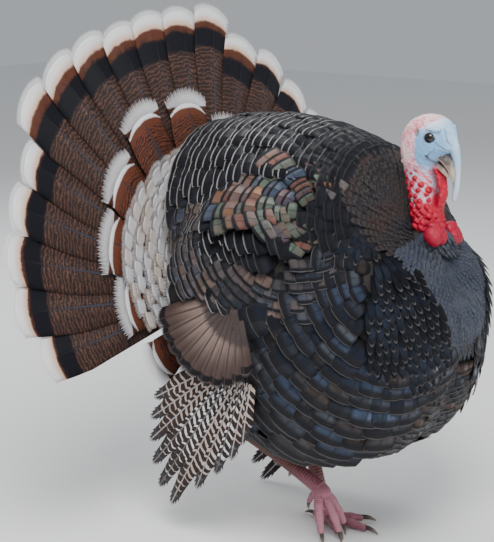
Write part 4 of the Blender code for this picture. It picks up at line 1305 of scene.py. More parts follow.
def skin_finish(settings):
    """Dark skin under the feathers; blue, white, pink and crimson skin on the head and neck."""
    made = Finish("skin", IOR=1.42)
    mask = made.attribute
    coarse = made.noise(55.0, 3.0)
    grain = made.noise(340.0, 3.0)
    fine = made.noise(900.0, 2.0)
    pebbles = made.cells(620.0, "SMOOTH_F1", Smoothness=0.6)
    x, y, z = made.parts(made.object_place())
    blue = made.mix(grain, (0.110, 0.300, 0.580), tuple(settings.face_blue))
    blue = made.mix(mask("crown"), blue, (0.800, 0.890, 0.950))
    blue = made.mix(made.step(x, 0.190, 0.204) * 0.55, blue, (0.620, 0.820, 0.950))
    pink = made.mix(made.step(grain + coarse * 0.6, 0.62, 0.95), (0.790, 0.190, 0.250), (0.900, 0.700, 0.730))
    colour = made.mix(mask("nape"), blue, pink)
    streaks = made.noise(330.0, 3.0, made.vector(x * 0.8 + z * 0.8, (x - z) * 0.16, y * 0.3))
    blotches = made.step(streaks + coarse * 0.35 + grain * 0.2, 0.62, 0.92)
    mottled = made.mix(blotches, (0.560, 0.660, 0.800), (0.700, 0.110, 0.150))
    mottled = made.mix(made.step(streaks, 0.40, 0.30) * 0.7, mottled, (0.300, 0.260, 0.330))
    colour = made.mix(mask("neck") * (1.0 - mask("snood")), colour, mottled)
    blotches = made.step(coarse + grain * 0.5, 0.62, 0.95)
    snood = made.mix(blotches, (0.560, 0.720, 0.880), (0.860, 0.640, 0.690))
    colour = made.mix(mask("snood") * mask("neck"), colour, snood)
    scarlet = made.mix(grain, (0.300, 0.000, 0.006), tuple(settings.flush))
    colour = made.mix(mask("throat"), colour, scarlet)
    colour = made.mix(mask("wart") * mask("neck"), colour, scarlet)
    crimson = made.mix(grain, (0.260, 0.000, 0.008), tuple(settings.bulb_red))
    # Painted shade: the crimson darkens along the crevices between the bulbs' lumps.
    crevice_shade = made.step(made.cells(210.0) + grain * 0.1, 0.16, 0.03)
    crimson = made.mix(crevice_shade * 0.65, crimson, (0.120, 0.000, 0.006))
    colour = made.mix(mask("bulbs"), colour, crimson)
    down = made.mix(fine, (0.060, 0.045, 0.040), (0.380, 0.330, 0.300))
    colour = made.mix(mask("ear") * 0.9, colour, down)
    horn = made.mix(grain, (0.060, 0.052, 0.056), (0.200, 0.170, 0.165))
    colour = made.mix(mask("bill_root") * 0.85, colour, horn)
    # Painted shade in the face's folds, and the dark ring round the lid.
    colour = made.mix(mask("dark") * (0.55 + grain * 0.6), colour, (0.012, 0.016, 0.030))
    body = made.mix(fine, (0.012, 0.010, 0.010), (0.024, 0.020, 0.019))
    colour = made.mix(mask("foot"), colour, body)
    colour = made.mix(mask("bare"), body, colour)
    made.set(Base_Color=colour, Roughness=0.80 - mask("bare") * 0.36 + grain * 0.10)
    made.bump(grain * 0.7 + fine * 0.3 - pebbles * 0.8 + coarse * 0.5, 0.0009, 0.7)
    return made.material


def whole_skin(body, settings, draw):
    """One skin from the bill's root to the tail: the fine bare head joined to the body's surface."""
    bare, warts = head_shell(settings, draw)
    sculpt_head(bare)
    masks = face_masks(corners_of(bare.data)[0], warts)
    masks["bare"] = np.ones(len(bare.data.vertices))
    for name, values in masks.items():
        store(bare.data, name, values)
        body.data.attributes.new(name, "FLOAT", "POINT")
    for part, low, high in ((body, (0.0, 0.0), (0.30, 0.30)), (bare, (0.31, 0.0), (1.0, 1.0))):
        unwrap_into(part, low, high)
    with bpy.context.temp_override(active_object=body, selected_editable_objects=[body, bare]):
        bpy.ops.object.join()
    body.name = "skin"
    body.data.materials.clear()
    body.data.materials.append(skin_finish(settings))
    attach(body, BODY)
    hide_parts(*FLESH, *BARE)


def unwrap_into(piece, low, high):
    """An unwrap of the piece's own shape, fitted into a part of the OFBake map."""
    mesh = piece.data
    layer = mesh.uv_layers.new(name="OFBake")
    mesh.uv_layers.active = layer
    bpy.context.view_layer.objects.active = piece
    with bpy.context.temp_override(active_object=piece, object=piece, selected_objects=[piece],
                                   edit_object=piece):
        bpy.ops.object.mode_set(mode="EDIT")
        bpy.ops.mesh.select_all(action="SELECT")
        bpy.ops.uv.smart_project(angle_limit=math.radians(80), island_margin=0.002)
        bpy.ops.object.mode_set(mode="OBJECT")
    layer = mesh.uv_layers["OFBake"]
    places = np.empty(len(layer.data) * 2, np.float32)
    layer.data.foreach_get("uv", places)
    places = places.reshape(-1, 2) * (np.array(high) - np.array(low)) + np.array(low)
    layer.data.foreach_set("uv", places.astype(np.float32).ravel())


def eye_finish():
    """A near-black brown iris round a black pupil, under a clear wet front."""
    made = Finish("eye", Roughness=0.06, IOR=1.38)
    made.shader.inputs["Coat Weight"].default_value = 0.6
    made.shader.inputs["Coat Roughness"].default_value = 0.02
    rim = made.attribute("from_axis")
    grain = made.noise(900.0, 2.0)
    iris = made.mix(grain, (0.008, 0.005, 0.004), (0.045, 0.020, 0.010))
    colour = made.mix(made.step(rim, 0.0030, 0.0036), (0.002, 0.002, 0.002), iris)
    colour = made.mix(made.step(rim, 0.0050, 0.0060), colour, (0.006, 0.005, 0.006))
    made.set(Base_Color=colour)
    return made.material


def eye_pieces():
    """Both eyes, as large as their solids."""
    finish = eye_finish()
    for side, sign in (("left", 1.0), ("right", -1.0)):
        shell = bmesh.new()
        made = bmesh.ops.create_uvsphere(shell, u_segments=48, v_segments=32, radius=EYE_RADIUS)
        bmesh.ops.scale(shell, vec=(1.0, 0.92, 1.0), verts=made["verts"])
        bmesh.ops.translate(shell, vec=EYE * (1.0, sign, 1.0), verts=made["verts"])
        mesh = mesh_of(shell, "eye_" + side)
        mesh.shade_smooth()
        points, _ = corners_of(mesh)
        gap = points - EYE * (1.0, sign, 1.0)
        way = EYE_WAY * (1.0, sign, 1.0)
        lateral = np.linalg.norm(gap - (gap @ way)[:, None] * way, axis=1)
        lateral = np.where(gap @ way > 0, lateral, 0.01)
        store(mesh, "from_axis", lateral)
        finished_piece("eye_" + side, mesh, finish, ["eye_" + side])


# ---- bill, legs and claws

def bent(start, middle, end, steps):
    """Points of a curve that leaves its start towards middle and reaches its end from there."""
    t = np.linspace(0.0, 1.0, steps + 1)[:, None]
    start, middle, end = (np.asarray(p, float) for p in (start, middle, end))
    return start * (1 - t) ** 2 + middle * 2 * t * (1 - t) + end * t**2


def spread(sizes, stations):
    """A short list of sizes stretched evenly over the stations."""
    return np.interp(np.linspace(0.0, 1.0, stations), np.linspace(0.0, 1.0, len(sizes)), sizes)


def limb_mesh(name, path, widths, heights, side, count, relief=None, tip=0.0):
    """A closed limb of oval sections, swelled by relief(share, angle, run); 90 degrees is its upper side.

    side is the direction of its widths, count the corners of a section and tip how far its ends bulge.
    """
    rows = len(path)
    widths, heights = spread(widths, rows), spread(heights, rows)
    ahead = unit(np.gradient(path, axis=0))
    across = along_surface(np.tile(np.asarray(side, float), (rows, 1)), ahead)
    rise = np.cross(ahead, across)
    angle = math.tau * np.arange(count) / count
    run = np.concatenate([[0.0], np.cumsum(np.linalg.norm(np.diff(path, axis=0), axis=1))])
    share = run / run[-1]
    swell = 1.0 if relief is None else relief(share[:, None], angle[None, :], run[:, None])
    swell = np.broadcast_to(swell, (rows, count))
    grid = path[:, None] + across[:, None] * (widths[:, None] * np.cos(angle) * swell)[..., None]
    grid = grid + rise[:, None] * (heights[:, None] * np.sin(angle) * swell)[..., None]
    points = [tuple(p) for p in grid.reshape(-1, 3)]
    points += [tuple(path[0] - ahead[0] * tip), tuple(path[-1] + ahead[-1] * max(tip, 0.0003))]
    faces = []
    for r in range(rows - 1):
        for c in range(count):
            a, b = r * count + c, r * count + (c + 1) % count
            faces.append((a, b, b + count, a + count))
    for c in range(count):
        faces.append((rows * count, (c + 1) % count, c))
        last = (rows - 1) * count
        faces.append((rows * count + 1, last + c, last + (c + 1) % count))
    mesh = bpy.data.meshes.new(name)
    mesh.from_pydata(points, [], faces)
    along = np.concatenate([np.repeat(share, count), [0.0, 1.0]])
    length = np.concatenate([np.repeat(run, count), [0.0, run[-1]]])
    top = np.concatenate([np.tile(np.sin(angle), rows), [0.0, 0.0]])
    for label, values in (("along", along), ("length", length), ("top", top)):
        store(mesh, label, values)
    shell = bmesh.new()
    shell.from_mesh(mesh)
    bmesh.ops.recalc_face_normals(shell, faces=shell.faces)
    shell.to_mesh(mesh)
    shell.free()
    mesh.shade_smooth()
    return mesh


def joined_meshes(name, meshes):
    """Several meshes as one."""
    objects = [linked(name, mesh) for mesh in meshes]
    with bpy.context.temp_override(active_object=objects[0], selected_editable_objects=objects):
        bpy.ops.object.join()
    mesh = objects[0].data
    bpy.data.objects.remove(objects[0], do_unlink=True)
    return mesh


ACROSS = (0.0, 1.0, 0.0)
BILL_UPPER_LINE = ((0.1760, 0, 0.5830), (0.1980, 0, 0.5705), (0.2005, 0, 0.5450))
BILL_LOWER_LINE = ((0.1680, 0, 0.5745), (0.1845, 0, 0.5630), (0.1920, 0, 0.5505))
NOSTRIL = ((0.1885, 0.0098, 0.5800), (0.1920, 0.0086, 0.5778))
NOSTRIL_HALF = 0.0013
NOSTRIL_DEPTH = 0.0016


def bill_finish():
    """Dark horn at the root, a pale tip and a pinkish cutting edge."""
    made = Finish("bill horn", IOR=1.5)
    along, top = made.attribute("along"), made.attribute("top")
    streak = made.noise(160.0, 3.0)
    fine = made.noise(600.0, 2.0)
    dark = made.mix(streak, (0.030, 0.026, 0.028), (0.170, 0.135, 0.120))
    horn = made.mix(streak, (0.300, 0.230, 0.165), (0.560, 0.480, 0.380))
    colour = made.mix(made.step(along + (streak - 0.5) * 0.3, 0.40, 0.80), dark, horn)
    edge = made.band(top, -0.62, -0.05, 0.12) * made.step(along, 0.95, 0.7)
    colour = made.mix(edge * 0.75, colour, (0.640, 0.400, 0.380))
    # Painted shade: the sunken nostrils are coloured near black.
    colour = made.mix(made.step(made.attribute("nostril"), 0.3, 0.8), colour, (0.010, 0.008, 0.008))
    made.set(Base_Color=colour, Roughness=0.34 + fine * 0.2)
    made.bump(streak + fine * 0.4, 0.0004)
    return made.material


def keel(share, angle, run):
    """The upper bill's ridge, the swelling round its nostrils and its flat underside."""
    ridge = 0.10 * np.exp(-((angle - math.pi / 2) / 0.35) ** 2) * (1 - share)
    cere = 0.07 * ease(-share, -0.34, -0.28) * (np.sin(angle) > -0.2)
    flat = -0.16 * ease(-np.sin(angle), 0.2, 0.9)
    return 1.0 + ridge + cere + flat


def bill_pieces():
    """The hooked upper bill with its nostrils, and the lower bill under it."""
    finish = bill_finish()
    upper = limb_mesh("bill_upper", bent(*BILL_UPPER_LINE, 40), (0.0135, 0.0112, 0.0078, 0.0050, 0.0014),
                      (0.0088, 0.0084, 0.0070, 0.0048, 0.0012), ACROSS, 36, keel, tip=0.001)
    points, normals = corners_of(upper)
    hole = nearness(points * (1, 0, 1) + np.abs(points) * (0, 1, 0), NOSTRIL, NOSTRIL_HALF)
    set_corners(upper, points - normals * (hole * NOSTRIL_DEPTH)[:, None])
    store(upper, "nostril", hole)
    finished_piece("bill_upper", upper, finish, ["bill_upper"])
    lower = limb_mesh("bill_lower", bent(*BILL_LOWER_LINE, 30), (0.0122, 0.0100, 0.0066, 0.0022),
                      (0.0060, 0.0054, 0.0042, 0.0016), ACROSS, 28, tip=0.001)
    lower.attributes.new("nostril", "FLOAT", "POINT")
    finished_piece("bill_lower", lower, finish, ["bill_lower"])


LEG_NODES = {
    "left": {"hock": (-0.052, 0.012, 0.152), "ankle": (-0.003, 0.000, 0.020), "spur": (-0.9, -0.35, -0.1)},
    "right": {"hock": (-0.112, -0.062, 0.146), "ankle": (0.029, -0.060, 0.080), "spur": (-0.55, 0.35, -0.75)},
}
TOE_SIDE = (0.3, 1.0, 0.05)
RIGHT_KNUCKLE = np.array((0.033, -0.060, 0.074))
RIGHT_TOES = (
    ("middle", (0.0, 0.0, 0.0), (0.047, -0.056, 0.050), (0.0575, -0.052, 0.017), (0.062, -0.051, -0.001)),
    ("outer", (-0.004, -0.004, 0.0), (0.034, -0.074, 0.050), (0.041, -0.074, 0.018), (0.045, -0.074, -0.001)),
    ("inner", (0.0, 0.004, 0.0), (0.046, -0.040, 0.052), (0.051, -0.031, 0.022), (0.054, -0.029, 0.003)),
    ("hind", (-0.006, 0.004, 0.006), (0.010, -0.051, 0.066), (0.002, -0.049, 0.050), (0.0, -0.048, 0.037)),
)
LEFT_TOES = (("middle", 2.0, 0.070), ("inner", -36.0, 0.052), ("outer", 38.0, 0.055), ("hind", 168.0, 0.026))


def scutes(pitch, height):
    """Overlapping plates on a limb's upper side, each rising to its lower edge."""
    def relief(share, angle, run):
        """How much broader than its oval the limb is."""
        plate = (run / pitch) % 1.0
        upper = ease(np.sin(angle), 0.0, 0.5)
        scales = 0.025 * (1 - upper) * np.sin(run * 2600.0) * np.sin(angle * 9)
        return 1.0 + height * upper * (plate - 0.35) + scales
    return relief


def scale_finish(name, pitch, low, high, dark, wash, painted_shine):
    """Horny plates: a dark seam at each and a painted highlight near its edge on the upper side, with small
    scales between.
    """
    made = Finish(name, IOR=1.46)
    length, top, along = made.attribute("length"), made.attribute("top"), made.attribute("along")
    grain = made.noise(150.0, 3.0)
    plate = made.node("Math", {"operation": "FRACT"}, {0: length / pitch})
    upper = made.step(top, 0.0, 0.5)
    small = made.cells(480.0)
    seam = made.step(plate, 0.20, 0.04) * upper + made.step(small, 0.10, 0.02) * (1.0 - upper)
    colour = made.mix(grain * 0.8 + plate * 0.3, low, high)
    colour = made.mix(made.step(along + (grain - 0.5) * 0.25, 0.55, 0.95), colour, wash)
    # Painted highlight: a pale pink band near each plate's edge, on the upper side only.
    colour = made.mix(made.band(plate, 0.60, 0.90, 0.12) * upper * painted_shine, colour, (0.70, 0.42, 0.48))
    colour = made.mix(seam * 0.75, colour, dark)
    made.set(Base_Color=colour, Roughness=0.36 + grain * 0.2)
    made.bump(plate * upper + small * 4.0 * (1.0 - upper) + grain * 0.3, 0.0005, 0.6)
    return made.material


def claw_finish():
    """Brown horn, paler along its tip."""
    made = Finish("claw horn", IOR=1.5)
    along = made.attribute("along")
    grain = made.noise(300.0, 3.0)
    colour = made.mix(made.step(along, 0.2, 1.0), (0.060, 0.040, 0.034), (0.260, 0.200, 0.160))
    made.set(Base_Color=made.mix(grain * 0.5, colour, (0.020, 0.014, 0.012)), Roughness=0.3 + grain * 0.2)
    made.bump(grain, 0.0003)
    return made.material


def toe_lines(side):
    """Name, course and claw's course of each toe."""
    lines = []
    if side == "left":
        for name, heading, length in LEFT_TOES:
            turn = math.radians(heading)
            way = np.array((math.cos(turn), math.sin(turn), 0.0))
            course = ((0.0, 0.0, 0.0095), way * length * 0.55 + (0, 0, 0.0098), way * length + (0, 0, 0.0058))
            claw = (way * (length - 0.001) + (0, 0, 0.0072), way * (length + 0.012) + (0, 0, 0.0080),
                    way * (length + 0.021) + (0, 0, 0.0012))
            lines.append((name, course, claw))
        return lines
    for name, start, middle, end, tip in RIGHT_TOES:
        reach = unit(np.array(end) - np.array(middle))
        claw = (end - reach * 0.002, end + reach * 0.008, tip)
        lines.append((name, (RIGHT_KNUCKLE + start, middle, end), claw))
    return lines


def above_floor(mesh):
    """Corners under the floor come up to it."""
    points, _ = corners_of(mesh)
    points[:, 2] = np.maximum(points[:, 2], 0.0)
    set_corners(mesh, points)
    return mesh


WEB_STRETCH = slice(4, 22)
WEB_SAG = 0.004
WEB_HALF = 0.0016


def web_mesh(first, second):
    """The skin between the roots of two toes."""
    rows, columns = 12, 7
    start, other = bent(*first, 40)[WEB_STRETCH], bent(*second, 40)[WEB_STRETCH]
    share = np.linspace(0, 1, columns)[:, None]
    pick = np.linspace(0, len(start) - 1, rows).astype(int)
    grid = start[pick][:, None] * (1 - share) + other[pick][:, None] * share
    sag = (1 - (2 * share[:, 0] - 1) ** 2) * WEB_SAG
    face = unit(np.cross(grid[-1, -1] - grid[0, 0], grid[-1, 0] - grid[0, -1]))
    ahead = unit(grid[-1, 0] - grid[0, 0])
    grid = grid - ahead * (sag[None, :] * np.linspace(0, 1, rows)[:, None] ** 2)[..., None]
    wall = face * WEB_HALF
    points = np.concatenate([(grid + wall).reshape(-1, 3), (grid - wall).reshape(-1, 3)])
    mesh = bpy.data.meshes.new("web")
    mesh.from_pydata(points.tolist(), [], blade_faces(rows, columns).tolist())
    for label, value in (("along", 0.2), ("length", 0.001), ("top", -1.0)):
        store(mesh, label, np.full(len(points), value))
    mesh.shade_smooth()
    return mesh


TARSUS_WIDTHS = (0.0125, 0.0110, 0.0096, 0.0096, 0.0110)
TARSUS_HEIGHTS = (0.0146, 0.0126, 0.0110, 0.0108, 0.0118)
SPUR_SIZES = (0.0056, 0.0040, 0.0009)
SPUR_SIDE = (0.2, 1.0, 0.2)
SPUR_SHARE = 0.66
TOE_WIDTHS = (0.0078, 0.0070, 0.0066, 0.0048)
HIND_TOE_WIDTHS = (0.0062, 0.0054, 0.0040)
TOE_STATIONS = 111
CLAW_TAPER = np.array((0.74, 0.60, 0.20))
STANDING_KNUCKLE = np.array((-0.001, 0.0, 0.0105))


def tarsus_and_spur(side, leg, shank, horn, plate):
    """The scaly shank from hock to ankle, and its spur."""
    hock, ankle = np.array(leg["hock"]), np.array(leg["ankle"])
    path = bent(hock, (hock + ankle) / 2, ankle, 190)
    mesh = limb_mesh("tarsus_" + side, path, TARSUS_WIDTHS, TARSUS_HEIGHTS, ACROSS, 28,
                     scutes(plate, 0.060), tip=0.001)
    finished_piece("tarsus_" + side, mesh, shank, ["tarsus_" + side])
    base = hock + (ankle - hock) * SPUR_SHARE
    way = np.array(leg["spur"])
    spur = limb_mesh("spur_" + side, bent(base, base + way * 0.016, base + way * 0.028, 16),
                     SPUR_SIZES, SPUR_SIZES, SPUR_SIDE, 16)
    finished_piece("spur_" + side, spur, horn, ["spur_" + side])


def foot_and_claws(side, leg, skin, horn, plate):
    """Ringed toes, the webs between them and the pad under them as one piece, and a claw on each toe."""
    hock, ankle = np.array(leg["hock"]), np.array(leg["ankle"])
    lines = toe_lines(side)
    parts = []
    for name, course, claw in lines:
        widths = HIND_TOE_WIDTHS if name == "hind" else TOE_WIDTHS
        knuckles = 1.0 + 0.06 * np.cos(np.linspace(0, math.tau * 3, TOE_STATIONS))
        width = spread(widths, TOE_STATIONS) * knuckles
        toe = limb_mesh("toe", bent(*course, TOE_STATIONS - 1), width, width * 0.92, TOE_SIDE, 20,
                        scutes(plate, 0.11), tip=0.003)
        parts.append(above_floor(toe))
        size = CLAW_TAPER * widths[-1]
        node = "claw_%s_%s" % (name, side)
        mesh = limb_mesh("claw", bent(*claw, 20), size, size * 1.12, TOE_SIDE, 16)
        finished_piece(node, above_floor(mesh), horn, [node])
    courses = {name: course for name, course, _ in lines}
    parts += [web_mesh(courses["middle"], courses[other]) for other in ("outer", "inner")]
    knuckle = np.array(lines[0][1][0]) if side == "right" else STANDING_KNUCKLE
    path = bent(ankle + (hock - ankle) * 0.05, knuckle + (0, 0, 0.002), knuckle + (0.006, 0, -0.004), 24)
    swell = 0.55 + 0.42 * np.sin(np.linspace(0.5, 2.5, len(path)))
    pad = limb_mesh("pad", path, 0.0125 * swell, 0.0122 * swell, ACROSS, 24, tip=0.006)
    foot = joined_meshes("foot_" + side, parts + [above_floor(pad)])
    finished_piece("foot_" + side, above_floor(foot), skin, ["foot_" + side])


def leg_pieces(settings):
    """Both legs below the feathers."""
    shank = scale_finish("tarsus scales", settings.scute, (0.075, 0.028, 0.024), tuple(settings.tarsus_red),
                         (0.026, 0.014, 0.014), (0.360, 0.115, 0.150), 0.15)
    toe_skin = scale_finish("toe scales", settings.toe_scute, (0.300, 0.085, 0.130), tuple(settings.toe_pink),
                            (0.120, 0.030, 0.052), (0.380, 0.130, 0.175), 0.45)
    horn = claw_finish()
    for side, leg in LEG_NODES.items():
        tarsus_and_spur(side, leg, shank, horn, settings.scute)
        foot_and_claws(side, leg, toe_skin, horn, settings.toe_scute)


# ---- great feathers

TAIL_HUB = np.array((-0.205, 0.0, 0.327))
TAIL_LEAN = math.radians(16.0)
TAIL_ROLL = math.radians(7.5)
TAIL_FEATHERS = 18
SHAFT_STOP = 0.012
BARB_ROOT = 0.003
# Corner and size of the blade and of the shaft within a great feather's cell of the OFBake map.
BLADE_CELL = ((0.02, 0.02), (0.84, 0.96))
SHAFT_CELL = ((0.89, 0.02), (0.03, 0.96))


class FanPlane:
    """The plane that a fan spreads in: turns go from its up direction towards its across direction."""

    def __init__(self, hub, up, across):
        self.hub = np.asarray(hub, float)
        self.up = unit(up)
        self.across = unit(across)
        self.face = unit(np.cross(self.across, self.up))

    def heading(self, turn):
        """Direction away from the hub."""
        return self.up * math.cos(turn) + self.across * math.sin(turn)

    def beside(self, turn):
        """Direction of growing turns."""
        return self.across * math.cos(turn) - self.up * math.sin(turn)


def tail_plane():
    """The tail leans back and is rolled a little."""
    rise = np.array((-math.sin(TAIL_LEAN), 0.0, math.cos(TAIL_LEAN)))
    side = np.array((0.0, -1.0, 0.0))
    up = rise * math.cos(TAIL_ROLL) + side * math.sin(TAIL_ROLL)
    across = side * math.cos(TAIL_ROLL) - rise * math.sin(TAIL_ROLL)
    plane = FanPlane(TAIL_HUB, up, across)
    if plane.face[0] < 0:
        plane.face = -plane.face
    return plane


def plume(quills, spine, across, face, half_widths, cell, tone, style):
    """One great feather: its blade, a raised shaft and the loose barbs of its tip.

    cell is the corner and size of its place on the OFBake map.
    """
    corner, size = np.array(cell[:2]), np.array(cell[2:])
    rows = len(spine)
    points, vane, place = blade_points(spine, across, face, half_widths, style["columns"], style["camber"],
                                       style["thick"], style["tip_round"])
    quads = blade_faces(rows, style["columns"])
    quills.add(points, quads, vane, corner + size * (vane * BLADE_CELL[1] + BLADE_CELL[0]), tone, place)
    forward = unit(np.gradient(spine, axis=0))
    share = np.linspace(0.0, 1.0, rows)
    shaft_half = style["shaft"] * (1.0 - 0.85 * share)
    proud = face * (style["thick"] * 0.5 * (1.0 - 0.5 * share))[:, None]
    shorter = forward * (SHAFT_STOP * share**3)[:, None]
    points, vane, place = blade_points(spine + proud - shorter, across, face, shaft_half, 3, 0.25,
                                       style["shaft"] * 1.3)
    place[:, 1] += SHAFT_STOP
    place[:, 0] = 0.0
    bake = corner + size * (vane * SHAFT_CELL[1] + SHAFT_CELL[0])
    quills.add(points, blade_faces(rows, 3), vane, bake, tone, place)
    count = style["barbs"]
    for k in range(count):
        u = -0.97 + 1.94 * (k + 0.5) / count
        uneven = 0.86 + 0.28 * ((k * 7) % 5) / 4.0
        reach = style["barb_length"] * (1.0 - style["barb_fade"] * abs(u)) * uneven
        half = half_widths[-1]
        root = spine[-1] + across[-1] * u * half - face[-1] * style["camber"] * u * u * half
        root = root - forward[-1] * (style["tip_round"] * abs(u) ** 2.4 + BARB_ROOT)
        lean = unit(forward[-1] + across[-1] * style["splay"] * u)
        steps = np.array((0.0, 0.55, 1.0))[:, None]
        bend = forward[-1] * (steps**2) * reach * 0.12 * abs(u)
        line = root + lean * steps * (reach + BARB_ROOT) + bend
        beside = np.repeat(unit(across[-1] - lean * across[-1].dot(lean))[None], 3, 0)
        wide = style["barb_half"] * np.array((1.0, 0.8, 0.25))
        points, vane, place = blade_points(line, beside, np.repeat(face[-1:], 3, 0), wide, 2, 0.0, 0.0006)
        place[:, 0] += u * half_widths[-1]
        place[:, 1] += style["tip_round"] * abs(u) ** 2.4 - reach
        vane[:, 0] = (u + 1.0) / 2.0
        vane[:, 1] = 1.0
        spot = corner + size * (0.945 + 0.03 * (k % 2), 0.02 + 0.94 * k / count)
        bake = spot + size * (vane * (0.01, 0.0) + place[:, 2:3] * (0.0, 0.5))
        quills.add(points, blade_faces(3, 2), vane, bake, tone, place)


def fan_plume(quills, plane, turn, inner, reach, half, cell, tone, style, proud, tilt, droop=0.0, rows=24):
    """A great feather that lies in a fan's plane, from inner to reach metres from the hub.

    half is its half breadth, as metres to each metre from the hub and at most.  proud is how far it
    stands off the plane, tilt how much it turns about its shaft and droop how far its tip sinks back.
    """
    share = 1.0 - (1.0 - np.linspace(0.0, 1.0, rows)) ** 1.35
    radius = inner + (reach - style["barb_length"] - inner) * share
    stand = plane.face * (proud - droop * share**2)[:, None]
    spine = plane.hub + plane.heading(turn) * radius[:, None] + stand
    face = unit(np.repeat((plane.face - plane.beside(turn) * tilt)[None], rows, 0))
    across = unit(np.repeat((plane.beside(turn) + plane.face * tilt)[None], rows, 0))
    width = np.minimum(radius * half[0], half[1]) * (1.0 - style["taper"] * ease(share, 0.86, 1.0))
    plume(quills, spine, across, face, width, cell, tone, style)


STYLE = ("columns", "camber", "thick", "tip_round", "shaft", "taper",
         "barbs", "barb_length", "barb_fade", "barb_half", "splay")
TAIL_STYLE = dict(zip(STYLE, (11, 0.05, 0.0018, 0.014, 0.0019, 0.03, 46, 0.008, 0.2, 0.0008, 0.45)))
COVERT_STYLE = dict(zip(STYLE, (11, 0.08, 0.0014, 0.015, 0.0014, 0.05, 58, 0.023, 0.20, 0.00075, 0.52)))
RUMP_STYLE = dict(zip(STYLE, (7, 0.12, 0.0012, 0.006, 0.0008, 0.0, 26, 0.010, 0.25, 0.0005, 0.55)))
PRIMARY_STYLE = dict(zip(STYLE, (7, 0.10, 0.0016, 0.020, 0.0015, 0.45, 8, 0.006, 0.5, 0.0012, 0.3)))
SECONDARY_STYLE = dict(zip(STYLE, (9, 0.12, 0.0014, 0.010, 0.0010, 0.05, 14, 0.003, 0.4, 0.0010, 0.4)))


class PlumeFinish(Finish):
    """A great feather's material.

    across, tip and root are metres across, from the tip and from the root; wobble and fine are noises
    that differ from one feather to the next.
    """

    def __init__(self, name, coarse, fine):
        super().__init__(name, IOR=1.30)
        metres = self.node("Attribute", {"attribute_name": "blade_place"}, output=1)
        self.across, self.tip, self.root = self.parts(metres)
        self.side = self.absolute(self.across)
        self.tone = self.attribute("tone")
        self.place = self.vector(self.across, self.tip, self.tone * 3.0)
        self.wobble = self.noise(coarse, 2.0, self.place)
        self.fine = self.noise(fine, 2.0, self.place)

    def finished(self, colour, shaft, roughness, slant, pitch, **more):
        """The material, with the relief of its shaft and of barbs that slant away from it."""
        barbs = self.wave((self.tip - self.side * slant) * pitch)
        self.set(Base_Color=colour, Roughness=roughness, **more)
        self.bump(barbs * 0.5 + shaft * 2.0, 0.0003)
        return self.material


def tail_finish(settings):
    """Pale tip, a chestnut band as wide as the feather's tone, a black band and then wavy bars on brown."""
    made = PlumeFinish("tail feather", 70.0, 620.0)
    tip, side, wobble, fine = made.tip, made.side, made.wobble, made.fine
    ripple = made.noise(190.0, 2.0, made.place)
    level = tip + (wobble - 0.5) * 0.006 + (fine - 0.5) * 0.004
    bars = made.wave((tip + (wobble - 0.5) * 0.014 + (ripple - 0.5) * 0.007 - side * 0.16) * 900.0)
    rufous = made.mix(made.noise(25.0, 2.0, made.place), (0.068, 0.032, 0.024), (0.150, 0.072, 0.048))
    brown = made.mix(fine, (0.012, 0.008, 0.009), (0.040, 0.025, 0.022))
    colour = made.mix(made.step(bars + (fine - 0.5) * 2.2, -0.1, 0.9), brown, rufous)
    flecks = made.step(fine, 0.56, 0.68) * made.step(side, 0.016, 0.006) * made.step(side, 0.001, 0.004)
    colour = made.mix(flecks * 0.55, colour, (0.300, 0.220, 0.185))
    past_black = level - (made.tone * 0.015 + 0.025)
    mottle = made.step(fine + (wobble - 0.5) * 0.6, 0.48, 0.60)
    colour = made.mix(made.step(past_black, 0.036, 0.029), colour, (0.005, 0.005, 0.009))
    mottle = mottle * made.step(past_black, -0.014, 0.002)
    chestnut = made.mix(mottle, tuple(settings.chestnut), (0.020, 0.012, 0.012))
    colour = made.mix(made.step(past_black, 0.003, -0.004), colour, chestnut)
    pale = made.mix(made.step(tip, 0.008, 0.021), tuple(settings.tip_white), (0.780, 0.540, 0.410))
    colour = made.mix(made.step(level, 0.0245, 0.0200), colour, pale)
    shaft = made.step(side, 0.0021, 0.0010) * made.step(tip, 0.018, 0.028)
    colour = made.mix(shaft * made.step(tip, 0.02, 0.16), colour, (0.050, 0.054, 0.075))
    return made.finished(colour, shaft, 0.50 + fine * 0.2, 0.9, 5200.0)


def covert_finish(settings):
    """White comb tip, a chestnut band, then chestnut crossed by fine dark waves."""
    made = PlumeFinish("tail covert", 70.0, 520.0)
    tip, side, wobble, fine = made.tip, made.side, made.wobble, made.fine
    ripple = made.noise(190.0, 2.0, made.place)
    level = tip + (wobble - 0.5) * 0.004 + (fine - 0.5) * 0.002
    bars = made.wave((tip + (wobble - 0.5) * 0.014 + (ripple - 0.5) * 0.006 - side * 0.25) * 1150.0)
    chestnut = made.mix(wobble, (0.110, 0.031, 0.016), (0.185, 0.055, 0.026))
    dark = made.step(bars + (fine - 0.5), -0.1, 0.6) * made.step(level, 0.012, 0.026)
    colour = made.mix(dark, chestnut, (0.026, 0.013, 0.012))
    blotch = made.step(side, 0.011, 0.004) * made.step(level, 0.032, 0.058)
    colour = made.mix(blotch * 0.8, colour, made.mix(fine, (0.020, 0.018, 0.022), (0.090, 0.070, 0.070)))
    colour = made.mix(made.step(level, 0.0080, 0.0050), colour, tuple(settings.covert_white))
    shaft = made.step(side, 0.0016, 0.0008) * made.step(level, 0.006, 0.014)
    colour = made.mix(shaft, colour, (0.040, 0.040, 0.052))
    return made.finished(colour, shaft, 0.55 + fine * 0.2, 0.9, 4200.0)


